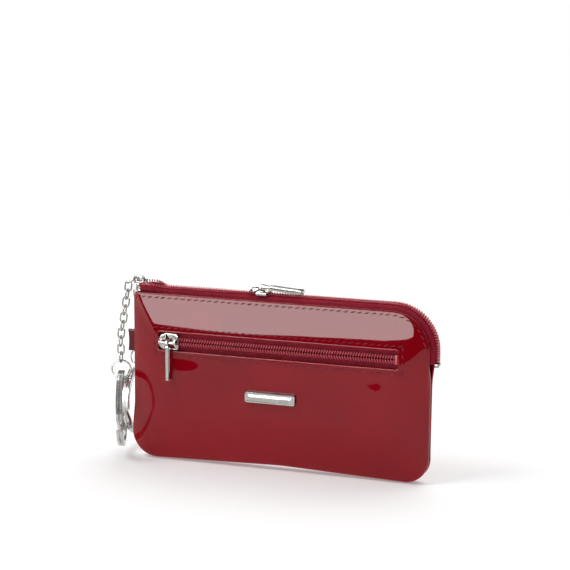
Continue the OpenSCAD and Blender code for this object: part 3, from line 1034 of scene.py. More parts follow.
@dataclass
class PocketPlan:
    """The front pocket's opening and its zip."""

    x0: float = -59.5
    x1: float = 57.7
    z: float = 58.7
    height: float = 8.6
    base_y: float = -6.1
    coil_h: float = 1.2
    tape_w: float = 8.4
    tape_t: float = 0.4
    slider_x: float = -53.8
    seam: float = 2.2
    row_shut: float = 0.3


@dataclass
class Leatherwork:
    """Panels, lining, pocket cloth, side loop and anchor tab."""

    shape: PouchShape
    pocket: PocketPlan
    finishes: Finishes
    rings: int = 46
    ring_end: float = 0.985
    easing: int = 110
    roll: tuple[Flat, ...] = ((0.05, 0.3), (0.2, 0.6), (0.5, 0.9), (1.0, 1.1))
    loop_z: Flat = (51.2, 61.4)
    loop_reach: float = 4.0
    fixed_rim: float = 0.9
    bead_r: float = 0.62
    window_corner: float = 0.9
    cloth_t: float = 0.35
    cloth_gap: float = 0.2
    bag_x: Flat = (-60.0, 57.5)
    bag_z: Flat = (20.0, 66.0)
    bag_swell: float = 3.9
    bag_cells: tuple[int, int] = (40, 18)
    window_y: tuple[float, float, float] = (-14.0, -4.0, -3.0)

    def skin(self, side: Side, inset: float, s: float) -> Loop:
        """One loop of a face.

        Args:
            side: The face.
            inset: How far inside the leather's outer face the loop lies.
            s: The fraction of the way in from the outline.

        Returns:
            A point for each point of the outline.
        """
        loop = []
        for x, z in self.shape.edge:
            mx, mz = self.shape.middle(x)
            cx, cz = lerp(x, mx, s), lerp(z, mz, s)
            y = self.shape.half_depth(x, z, s) - inset
            y -= self.shape.relief(side, cx, cz, s)
            loop.append(Vector((cx, side.value * y, cz)))
        return loop

    def window(self, back_y: float) -> Solid:
        """The block that cuts the pocket's window, back to this Y."""
        p = self.pocket
        return block((p.x0, self.window_y[0], p.z - p.height / 2), (p.x1, back_y, p.z + p.height / 2))

    def panel_solid(self, side: Side) -> Solid:
        """A leather panel with its turned edge.

        Args:
            side: The face of the pouch.

        Returns:
            One closed shell.
        """
        outer = [self.skin(side, 0.0, self.ring_end * (k / self.rings) ** 1.6)
                 for k in range(self.rings, -1, -1)]
        edge = []
        for inset, drop in self.roll:
            loop = []
            for (x, z), (nx, nz) in zip(self.shape.edge, self.shape.normals):
                e = self.shape.edge_half(x, z)
                y = e - drop * lerp((e - 0.1) / 1.1, 1.0, self.shape.openness(x, z))
                loop.append(Vector((x - nx * inset, side.value * y, z - nz * inset)))
            edge.append(loop)
        inner = [self.skin(side, self.shape.leather, s)
                 for s in (0.06, 0.1, 0.16, 0.25, 0.36, 0.5, 0.66, 0.82, self.ring_end)]
        return bridge(outer + edge + inner)

    def build_panels(self) -> None:
        """Makes both leather panels, and cuts the pocket's window in the front one."""
        leather = self.finishes[Slot.PATENT]
        back = self.relaxed(make_piece("back_panel_leather", self.panel_solid(Side.BACK), leather),
                            Side.BACK)
        settle(back, HOME, Slot.PATENT, "back_panel")
        front = self.relaxed(make_piece("front_panel_blank", self.panel_solid(Side.FRONT), leather),
                             Side.FRONT)
        front = window_cut(front, "front_panel_leather", self.window(self.window_y[1]))
        settle(front, HOME, Slot.PATENT, "front_panel")
        self.build_welt()

    def relaxed(self, panel: bpy.types.Object, side: Side) -> bpy.types.Object:
        """Evens out the swell as stretched leather does, and keeps the face for later casts.

        Args:
            panel: The panel, changed in place.
            side: The face it covers.

        Returns:
            The same panel.
        """
        bm = bmesh.new()
        bm.from_mesh(panel.data)
        fixed = self.fixed_rim * MM
        edge = [Vector((x * MM, z * MM)) for x, z in self.shape.edge]
        free = []
        for vert in bm.verts:
            here = Vector((vert.co.x, vert.co.z))
            if min((here - p).length_squared for p in edge) > fixed * fixed:
                free.append(vert)
        for _ in range(self.easing):
            bmesh.ops.smooth_vert(bm, verts=free, factor=0.5, use_axis_y=True)
        for vert in free if side is Side.FRONT else ():
            vert.co.y += self.shape.puff(vert.co.x / MM, vert.co.z / MM) * MM
        bm.to_mesh(panel.data)
        self.shape.faces[side] = BVHTree.FromBMesh(bm)
        bm.free()
        return panel

    def build_welt(self) -> None:
        """The turned edge round the pocket's window: a slim rolled bead of leather."""
        p, r = self.pocket, self.bead_r
        low, high = (p.x0, p.z - p.height / 2), (p.x1, p.z + p.height / 2)
        fine = filled(rounded_corners(low, high, self.window_corner, 4), 3.0)
        loops = []
        for i, (x, z) in enumerate(fine):
            (ax, az), (bx, bz) = fine[i - 1], fine[(i + 1) % len(fine)]
            size = math.hypot(bx - ax, bz - az)
            out = Vector(((bz - az) / size, 0, -(bx - ax) / size))
            y = -self.shape.depth(Side.FRONT, x + out.x * 0.5, z + out.z * 0.5)
            centre = Vector((x, y + r - 0.12, z)) + out * (r - 0.22)
            loops.append([centre + out * (math.cos(t) * r) + Vector((0, math.sin(t) * r, 0))
                          for t in circle(14)])
        welt = make_piece("pocket_turned_edge", bridge(loops, True), self.finishes[Slot.PATENT])
        settle(welt, HOME, Slot.PATENT)

    def build_linings(self) -> None:
        """The cloth inside each panel."""
        marks = (0.08, 0.12, 0.18, 0.26, 0.36, 0.48, 0.62, 0.78, self.ring_end)
        inset = self.shape.leather + self.cloth_gap
        for side, node in ((Side.FRONT, "front_lining"), (Side.BACK, "back_lining")):
            outer = [self.skin(side, inset, s) for s in reversed(marks)]
            inner = [self.skin(side, inset + self.cloth_t, s) for s in marks]
            cloth = make_piece(node + "_cloth", bridge(outer + inner), self.finishes[Slot.LINING])
            if side is Side.FRONT:
                cloth = window_cut(cloth, node + "_cloth_cut", self.window(self.window_y[2]))
            settle(cloth, HOME, Slot.LINING, node)

    def build_bag(self) -> None:
        """The pocket's cloth bag: a flat front sheet and a swelling back sheet."""
        p = self.pocket
        face_y = p.base_y + p.tape_t
        (x0, x1), (z0, z1), (columns, rows) = self.bag_x, self.bag_z, self.bag_cells
        low_top = p.z - p.row_shut - 4
        plans = (("pocket_bag_front", low_top, 0.0), ("pocket_bag_back", z1, self.bag_swell))
        for name, top, swell in plans:
            near, far = [], []
            for j in range(rows + 1):
                for i in range(columns + 1):
                    u, v = i / columns, j / rows
                    x, z = lerp(x0, x1, u), lerp(z0, top, v)
                    room = (16 * u * (1 - u) * v * (1 - v)) ** 0.5
                    ripple = 0.3 * noise.noise(Vector((x / 9, swell, z / 14))) * room
                    y = face_y + 0.05 + (0.45 + swell * room + ripple if swell else 0.0)
                    near.append(Vector((x, y, z)))
                    far.append(Vector((x, y + 0.3, z)))
            n = columns + 1
            faces, total = [], len(near)
            for j in range(rows):
                for i in range(columns):
                    a = j * n + i
                    faces.append([a, a + 1, a + n + 1, a + n])
                    faces.append([total + a + n, total + a + n + 1, total + a + 1, total + a])
            rim = ([i for i in range(n)] + [j * n + columns for j in range(1, rows + 1)]
                   + [rows * n + i for i in range(columns - 1, -1, -1)]
                   + [j * n for j in range(rows - 1, 0, -1)])
            faces += [[rim[k], rim[(k + 1) % len(rim)], total + rim[(k + 1) % len(rim)], total + rim[k]]
                      for k in range(len(rim))]
            bag = make_piece(name + "_cloth", (near + far, faces), self.finishes[Slot.LINING])
            settle(bag, HOME, Slot.LINING, name)

    def build_loop(self) -> None:
        """The folded leather loop sewn into the left seam."""
        (z0, z1), reach, half, t = self.loop_z, self.loop_reach, 0.95, 0.85
        seam = -74.15
        outer: list[Flat] = [(seam + 1.2, half)]
        outer += [(seam - reach + half + half * math.cos(a), half * math.sin(a))
                  for a in arc(90, 271, 15)]
        outer.append((seam + 1.2, -half))
        inner_half = half - t
        inner = [(x + (0.0 if i in (0, len(outer) - 1) else t * 0.6 * (1 if x < seam else 0)),
                  y / half * inner_half) for i, (x, y) in enumerate(outer)]
        strip = outer + inner[::-1]
        loops = []
        for k in range(13):
            v = k / 12
            sag = 0.35 * math.sin(math.pi * v)
            loops.append([Vector((x + sag * smooth((seam - x) / 3), y, lerp(z0, z1, v)))
                          for x, y in strip])
        loop = make_piece("side_loop_leather", bridge(loops), self.finishes[Slot.TRIM], 0.15)
        settle(loop, HOME, Slot.TRIM, "side_loop")

    def build_tab(self) -> None:
        """The strap inside the left seam, folded over the wire of the chains' rings."""
        low, high = (Vector(v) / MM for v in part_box("anchor_tab"))
        half = (high.y - low.y) / 2
        mid = (high.y + low.y) / 2
        end = high.x - half
        profile = [(low.x, mid + half)] + [(end + half * math.cos(a), mid + half * math.sin(a))
                                           for a in arc(90, -91, -15)]
        profile.append((low.x, mid - half))
        loops = [[Vector((x, y, z)) for x, y in profile]
                 for z in (low.z, lerp(low.z, high.z, 0.5), high.z)]
        tab = make_piece("anchor_tab_leather", bridge(loops), self.finishes[Slot.TRIM], 0.25, 3)
        settle(tab, HOME, Slot.TRIM, "anchor_tab")

    def build(self) -> None:
        """Makes every leather and lining piece."""
        self.build_panels()
        self.build_linings()
        self.build_bag()
        self.build_loop()
        self.build_tab()


@dataclass
class ZipWork:
    """Tapes, coils, stops and stitches of both zips."""

    shape: PouchShape
    pocket: PocketPlan
    finishes: Finishes
    pitch: float = 1.27
    tape_t: float = 0.45
    stitch_pitch: float = 3.3
    stitch_inset: float = 1.9
    wire: float = 0.30
    lean: float = 0.42
    row_shift: float = 0.18
    row_extra: float = 0.12
    coils: bpy.types.NodeTree = field(default_factory=coil_tree)
    stitches: bpy.types.NodeTree = field(default_factory=stitch_tree)

    def station_x(self, s: Sequence[float]) -> float:
        """X for the rows' spread, which only the top stretch has."""
        return s[0] if s[3] > 0.999 else 0.0

    def swept(self, side: Side, profile: Section, step: float = 1.6) -> Solid:
        """Sweeps a section along the main zip.

        Args:
            side: The side of the zip.
            profile: Gives pairs of half width and height for a station of the path.
            step: The length wanted between stations.

        Returns:
            A closed shell.
        """
        length = self.shape.zip_length()
        count = round(length / step)
        loops = []
        for k in range(count + 1):
            s = self.shape.zip_at(lerp(0, length, k / count))
            loops.append([Vector((s[0] + s[2] * h, side.value * w, s[1] + s[3] * h))
                          for w, h in profile(s)])
        return bridge(loops)

    def tape_profile(self, s: Sequence[float]) -> list[Flat]:
        """The tape's section: up from under the panel's edge, then in to the row.

        Args:
            s: A station of the zip's path.

        Returns:
            Pairs of half width and height over the panels' edge.
        """
        shape, t = self.shape, self.tape_t
        e = shape.edge_half(s[0], s[1]) - shape.leather - 0.06
        x = self.station_x(s)
        yi = shape.row_inner(x)
        yo = min(yi + shape.row_w, e + 0.9)
        d = shape.lift + shape.hump(x)
        return [(e, -3), (e, -0.4), (lerp(e, yo, 0.25) + 0.1, 0.45), (lerp(e, yo, 0.7) + 0.2, d * 0.75),
                (yo, d), (yi, d), (yi, d - t), (yo - 0.2, d - t), (lerp(e, yo, 0.7) - 0.3, d * 0.75 - t),
                (lerp(e, yo, 0.25) - 0.35, 0.1), (e - t, -0.5), (e - t, -3)]

    def row_line(self, side: Side, start: float) -> list[Vector]:
        """The centre line of one main coil row.

        Args:
            side: The side of the zip.
            start: The length run where the row starts.

        Returns:
            The line's points.
        """
        line, shape = [], self.shape
        end = shape.zip_length() - 1.0
        count = round((end - start) / 0.8)
        for k in range(count + 1):
            s = shape.zip_at(lerp(start, end, k / count))
            x = self.station_x(s)
            w = shape.row_inner(x) + shape.row_w / 2 - self.row_shift
            h = shape.lift + shape.hump(x) + shape.coil_h / 2
            line.append(Vector((s[0] + s[2] * h, side.value * w, s[1] + s[3] * h)))
        return line

    def coil(self, name: str, line: Sequence[Vector], height: float, lean: float) -> bpy.types.Object:
        """Grows the winds of one row.

        Args:
            name: The piece's name.
            line: The row's centre line.
            height: The row's height.
            lean: How far each tooth leans along the row.

        Returns:
            The row as a plain mesh object.
        """
        return grow(name, path_mesh(name, line), self.coils, self.finishes[Slot.COIL],
                    Pitch=self.pitch * MM, Wire=self.wire * MM,
                    Half_Width=(self.shape.row_w / 2 + self.row_extra - self.wire) * MM,
                    Half_Height=(height / 2 - self.wire) * MM, Lean=lean)

    def build_main(self) -> None:
        """The main zip's tapes, rows and stops."""
        for side, word in ((Side.FRONT, "front"), (Side.BACK, "back")):
            tape = make_piece(f"main_tape_{word}_cloth", self.swept(side, self.tape_profile),
                              self.finishes[Slot.TAPE])
            settle(tape, HOME, Slot.TAPE, f"main_tape_{word}")
            start = 0.6 if side is Side.FRONT else 0.6 + self.pitch / 2
            row = self.coil(f"main_coil_{word}_winds", self.row_line(side, start),
                            self.shape.coil_h, self.lean * side.value)
            settle(row, HOME, Slot.COIL, f"main_coil_{word}")
        self.stop("main_left_stops", 0.3)
        self.stop("main_right_stop", 0.35)

    def stop(self, node: str, bevel: float) -> None:
        """A pressed stop with rounded edges, in the place of its node.

        Args:
            node: The node; a plural one is two stops, one for each row.
            bevel: The rounding of its edges.
        """
        low, high = (Vector(v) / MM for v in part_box(node))
        if node.endswith("stops"):
            level = 2 if node.startswith("pocket") else 1
            width = self.shape.row_w
            parts = []
            for start in (low[level], high[level] - width):
                lo, hi = low.copy(), high.copy()
                lo[level], hi[level] = start, start + width
                parts.append(block(lo, hi))
            solid = together(parts)
        else:
            solid = block(low, high)
        slot = Slot.COIL if node == "pocket_right_stop" else Slot.NICKEL
        piece = make_piece(node + "_block", solid, self.finishes[slot], bevel, 3)
        settle(piece, HOME, slot, node)

    def build_pocket(self) -> None:
        """The pocket zip's tapes, rows and stops."""
        p = self.pocket
        for sign, word in ((1, "upper"), (-1, "lower")):
            inner = p.z + sign * p.row_shut
            z0, z1 = sorted((inner, inner + sign * p.tape_w))
            columns = 60
            loops = []
            for i in range(columns + 1):
                x = lerp(p.x0 - 1.5, p.x1 + 1.5, i / columns)
                y = p.base_y + 0.04 * noise.noise(Vector((x / 8, sign, 0)))
                loops.append([Vector((x, y, z0)), Vector((x, y, z1)),
                              Vector((x, y + p.tape_t, z1)), Vector((x, y + p.tape_t, z0))])
            tape = make_piece(f"pocket_tape_{word}_cloth", bridge(loops), self.finishes[Slot.TAPE])
            settle(tape, HOME, Slot.TAPE, f"pocket_tape_{word}")
            z = p.z + sign * (p.row_shut + self.shape.row_w / 2 - self.row_shift)
            start = p.x0 + 2.2 + (self.pitch / 2 if sign > 0 else 0.0)
            line = [Vector((x, p.base_y - p.coil_h / 2, z)) for x in (start, p.x1 - 2.0)]
            row = self.pocket_row(f"pocket_coil_{word}_winds", line, sign)
            settle(row, HOME, Slot.COIL, f"pocket_coil_{word}")
        self.stop("pocket_left_stops", 0.3)
        self.stop("pocket_right_stop", 0.3)

    def pocket_row(self, name: str, line: Sequence[Vector], sign: int) -> bpy.types.Object:
        """Grows a row on the level path, then turns it to face the front.

        Args:
            name: The piece's name.
            line: The row's centre line, as it stands.
            sign: 1 for the upper row and -1 for the lower.

        Returns:
            The row as a plain mesh object.
        """
        turn = Matrix.Rotation(math.pi / 2, 4, "X")
        laid = [turn.inverted() @ v for v in line]
        row = self.coil(name, laid, self.pocket.coil_h, -self.lean * sign)
        row.data.transform(turn)
        return row

    def seam_y(self, side: Side, x: float, z: float, sunk: float = 0.02) -> float:
        """Where a thread's middle lies on a face of the pouch."""
        return side.value * (self.shape.depth(side, x, z) + 0.1 - sunk)

    def build_stitches(self) -> None:
        """The stitches along the zip's edge on both faces, and round the pocket."""
        shape = self.shape
        for side, word in ((Side.FRONT, "front"), (Side.BACK, "back")):
            line = []
            start, end = 2.2, shape.zip_length() - 3.0
            count = round((end - start) / 1.5)
            for k in range(count + 1):
                s = shape.zip_at(lerp(start, end, k / count))
                x, z = s[0] - s[2] * self.stitch_inset, s[1] - s[3] * self.stitch_inset
                line.append(Vector((x, self.seam_y(side, x, z), z)))
            self.stitch_row(f"stitches_{word}", [line], side)
        p = self.pocket
        x0, x1 = p.x0 - p.seam, p.x1 + p.seam
        z0, z1 = p.z - p.height / 2 - p.seam, p.z + p.height / 2 + p.seam
        corners = [(x0, z0), (x1, z0), (x1, z1), (x0, z1)]
        lines = []
        for i, a in enumerate(corners):
            b = corners[(i + 1) % 4]
            parts = max(2, round(math.dist(a, b) / 3))
            inset = 1.2 / math.dist(a, b)
            flat = [(lerp(a[0], b[0], lerp(inset, 1 - inset, k / parts)),
                     lerp(a[1], b[1], lerp(inset, 1 - inset, k / parts))) for k in range(parts + 1)]
            lines.append([Vector((x, self.seam_y(Side.FRONT, x, z), z)) for x, z in flat])
        self.stitch_row("stitches_pocket", lines, Side.FRONT)

    def stitch_row(self, node: str, lines: Sequence[Sequence[Vector]], side: Side) -> None:
        """Grows the stitches of one node.

        Args:
            node: The node they stand for.
            lines: Its seams, each a line of points.
            side: The face they lie on.
        """
        mesh = path_mesh(node, *lines)
        piece = grow(node + "_thread", mesh, self.stitches, self.finishes[Slot.THREAD],
                     Pitch=self.stitch_pitch * MM, Facing=float(side.value),
                     Slant=0.3 * -side.value)
        settle(piece, HOME, Slot.THREAD, node)

    def build(self) -> None:
        """Makes both zips and all the stitches."""
        self.build_main()
        self.build_pocket()
        self.build_stitches()


@dataclass
class SliderWork:
    """Both sliders and their pulls."""

    shape: PouchShape
    pocket: PocketPlan
    finishes: Finishes
    gap: float = 0.15
    plate: float = 0.75
    half_w: float = 3.85
    channel: float = 3.25
    tail: float = 4.6
    nose_x: float = -1.4
    nose_r: float = 4.0
    pin_lift: float = 1.0
    bar_lift: float = 2.1
    bar_half: float = 3.9
    pin_half: float = 2.15
    main_pull_l: float = 20.5
    pocket_pull_l: float = 17.5
    pull_lean: float = 4.0

    def shield(self) -> list[Flat]:
        """A plate's outline: a round nose with shoulders, and a tail with cut corners.

        Returns:
            The outline's points.
        """
        w, tail = self.half_w, self.tail
        nose = [(self.nose_x - self.nose_r * math.sin(a),
                 (w if abs(math.cos(a)) > 0.999 else w * math.cos(a) ** 0.85 if math.cos(a) > 0
                  else -w * abs(math.cos(a)) ** 0.85)) for a in arc(0, 181, 12)]
        return nose + [(tail - 0.9, -w), (tail, -w + 0.8), (tail, w - 0.8), (tail - 0.9, w)]

    def shell(self, coil: float) -> list[Solid]:
        """The two plates, the side flanges and the wedge between the rows.

        Args:
            coil: The height of the rows it runs on.

        Returns:
            The shells of its pieces.
        """
        top = coil + self.gap
        parts = [prism(self.shield(), top, top + self.plate),
                 prism([(x * 0.93, y * 0.6) for x, y in self.shield()], -1.5, -0.75),
                 block((-2.4, -0.2, -1.0), (1.0, 0.2, top + 0.2))]
        for s in (-1, 1):
            y0, y1 = sorted((s * self.channel, s * self.half_w))
            parts.append(block((-1.6, y0, 0.35), (self.tail - 0.9, y1, top + 0.1)))
        return parts

    def main_solid(self) -> Solid:
        """The main slider: its shell, a crown that holds the pin, and the pin's heads."""
        coil = self.shape.coil_h
        top = coil + self.gap + self.plate
        crown = [(-4.6, -0.1)] + [(-0.4 - 4.1 * math.cos(a), 2.55 * math.sin(a) ** 0.8)
                                  for a in arc(8, 175, 12)] + [(3.8, -0.1)]
        arch = bridge([[Vector((x, y, top + z)) for x, z in crown] for y in (-0.9, 0.9)])
        return together(self.shell(coil) + [arch])

    def barred_solid(self) -> Solid:
        """The pocket slider: its shell, and a round bar between two posts."""
        top = self.pocket.coil_h + self.gap + self.plate
        axis = top + self.bar_lift
        bar = rod(Vector((-self.bar_half, 0, axis)), Vector((self.bar_half, 0, axis)),
                  ((0, 0.35), (0.04, 0.58), (0.1, 0.65), (0.9, 0.65), (0.96, 0.58), (1, 0.35)))
        posts = []
        for x0, x1, s in ((-4.4, -2.7, -1), (2.6, 4.2, 1)):
            foot = [(x0 - 0.4, -1.5), (x1 + 0.2, -1.1), (x1 + 0.2, 1.1), (x0 - 0.4, 1.5)]
            head = [(x0, -0.7), (x1, -0.7), (x1, 0.7), (x0, 0.7)]
            if s > 0:
                foot = [(x0 - 0.2, -1.1), (x1 + 0.3, -1.5), (x1 + 0.3, 1.5), (x0 - 0.2, 1.1)]
            levels = ((foot, top - 0.1), (head, top + self.bar_lift * 0.7),
                      (head, top + self.bar_lift + 0.7))
            posts.append(bridge([[Vector((x, y, z)) for x, y in ring] for ring, z in levels]))
        return together(self.shell(self.pocket.coil_h) + posts + [bar])

    def at_main(self) -> Matrix:
        """The main slider's place."""
        return Matrix.Translation((self.shape.slider_x, 0, self.shape.panel_h + self.shape.lift))

    def at_pocket(self) -> Matrix:
        """The pocket slider's place, facing the front."""
        return (Matrix.Translation((self.pocket.slider_x, self.pocket.base_y, self.pocket.z))
                @ Matrix.Rotation(math.pi / 2, 4, "X"))

    def pull_bar(self, length: float, waist: float, flare: float, low: float, high: float,
                 start: float) -> Solid:
        """A pull's grooved bar along X with a flared end.

        Args:
            length: Distance from the hinge to its end.
            waist: Half width along its middle.
            flare: Half width at its end.
            low: Lower face.
            high: Upper face.
            start: Where the bar starts, from the hinge.

        Returns:
            A closed shell.
        """
        loops = []
        marks = (0.0, 0.02, 0.06, 0.3, 0.55, 0.76, 0.84, 0.92, 0.97, 1.0)
        for t in marks:
            x = lerp(start, length, t)
            w = waist + (flare - waist) * smooth((t - 0.76) / 0.22)
            if t in (0.0, 1.0):
                w -= 0.15
            groove = 0.28 * smooth(t / 0.08) * (1 - smooth((t - 0.74) / 0.12))
            trim = 0.12 if t in (0.0, 1.0) else 0.0
            lo, hi = low + trim, high - trim
            loops.append([Vector((x, y, z)) for y, z in (
                (-w, lo + 0.18), (-w + 0.2, lo), (-w * 0.55, lo), (-w * 0.42, lo + groove),
                (w * 0.42, lo + groove), (w * 0.55, lo), (w - 0.2, lo), (w, lo + 0.18),
                (w, hi - 0.18), (w - 0.2, hi), (w * 0.55, hi), (w * 0.42, hi - groove),
                (-w * 0.42, hi - groove), (-w * 0.55, hi), (-w + 0.2, hi), (-w, hi - 0.18))])
        return bridge(loops)

    def main_pull_solid(self) -> Solid:
        """The main pull: a cross pin, two arms and a grooved bar."""
        pin = rod(Vector((0, -self.pin_half, 0)), Vector((0, self.pin_half, 0)),
                  ((0, 0.4), (0.03, 0.8), (0.08, 1.0), (0.11, 1.0), (0.12, 0.7), (0.88, 0.7),
                   (0.89, 1.0), (0.92, 1.0), (0.97, 0.8), (1, 0.4)))
        parts = [pin]
        for s in (-1, 1):
            outline = [(4.9, -0.5), (4.9, 1.2), (1.6, 1.15)]
            outline += [(1.3 * math.cos(a), 1.3 * math.sin(a)) for a in arc(50, 301, 20)]
            outline.append((1.6, -0.5))
            parts.append(bridge([[Vector((x, s * y, z)) for x, z in outline] for y in (1.12, 1.7)]))
        parts.append(self.pull_bar(self.main_pull_l, 1.7, 2.15, -0.5, 1.6, 4.3))
        return together(parts)

    def build(self) -> None:
        """Makes the sliders and the pulls, each on its own body."""
        metal = self.finishes[Slot.NICKEL]
        top = self.shape.coil_h + self.gap + self.plate + self.pin_lift
        lean = Matrix.Rotation(math.radians(self.pull_lean), 4, "Y")
        plans = [
            ("main_slider", self.main_solid(), self.at_main(), 0.22),
            ("main_pull", self.main_pull_solid(), self.at_main() @ Matrix.Translation((0, 0, top)) @ lean,
             0.1),
            ("pocket_slider", self.barred_solid(), self.at_pocket(), 0.22),
            ("pocket_pull", self.pocket_pull_solid(),
             self.at_pocket() @ Matrix.Translation((0, 0, self.pocket.coil_h + self.gap + self.plate
                                                    + self.bar_lift)), 0.1),
        ]
        for name, solid, place, bevel in plans:
            piece = make_piece(name + "_metal", moved(solid, place), metal, bevel, 3)
            settle(piece, name, Slot.NICKEL, name)

    def pocket_pull_solid(self) -> Solid:
        """The pocket pull: an eye on the bar, and a slim grooved bar that hangs edge on."""
        eye = bridge([[Vector((x, math.cos(a) * r, math.sin(a) * r)) for a in ring]
                      for x, r, ring in self.eye_loops()], True)
        bar = self.pull_bar(self.pocket_pull_l, 0.95, 1.0, -0.75, 0.75, 1.35)
        hang = Matrix.Rotation(-math.pi / 2, 4, "Z") @ Matrix.Rotation(math.pi / 2, 4, "X")
        end = self.pull_bar(self.pocket_pull_l, 0.9, 1.3, -0.95, 0.95, 18.0)
        return together([eye, moved(bar, hang), moved(end, hang)])

    def eye_loops(self) -> list[tuple[float, float, list[float]]]:
        """The eye's section as loops: across, radius and angles."""
        ring = circle(32)
        return [(-0.75, 0.85, ring), (-0.75, 1.35, ring), (-0.55, 1.5, ring), (0.55, 1.5, ring),
                (0.75, 1.35, ring), (0.75, 0.85, ring), (0.6, 0.76, ring), (-0.6, 0.76, ring)]


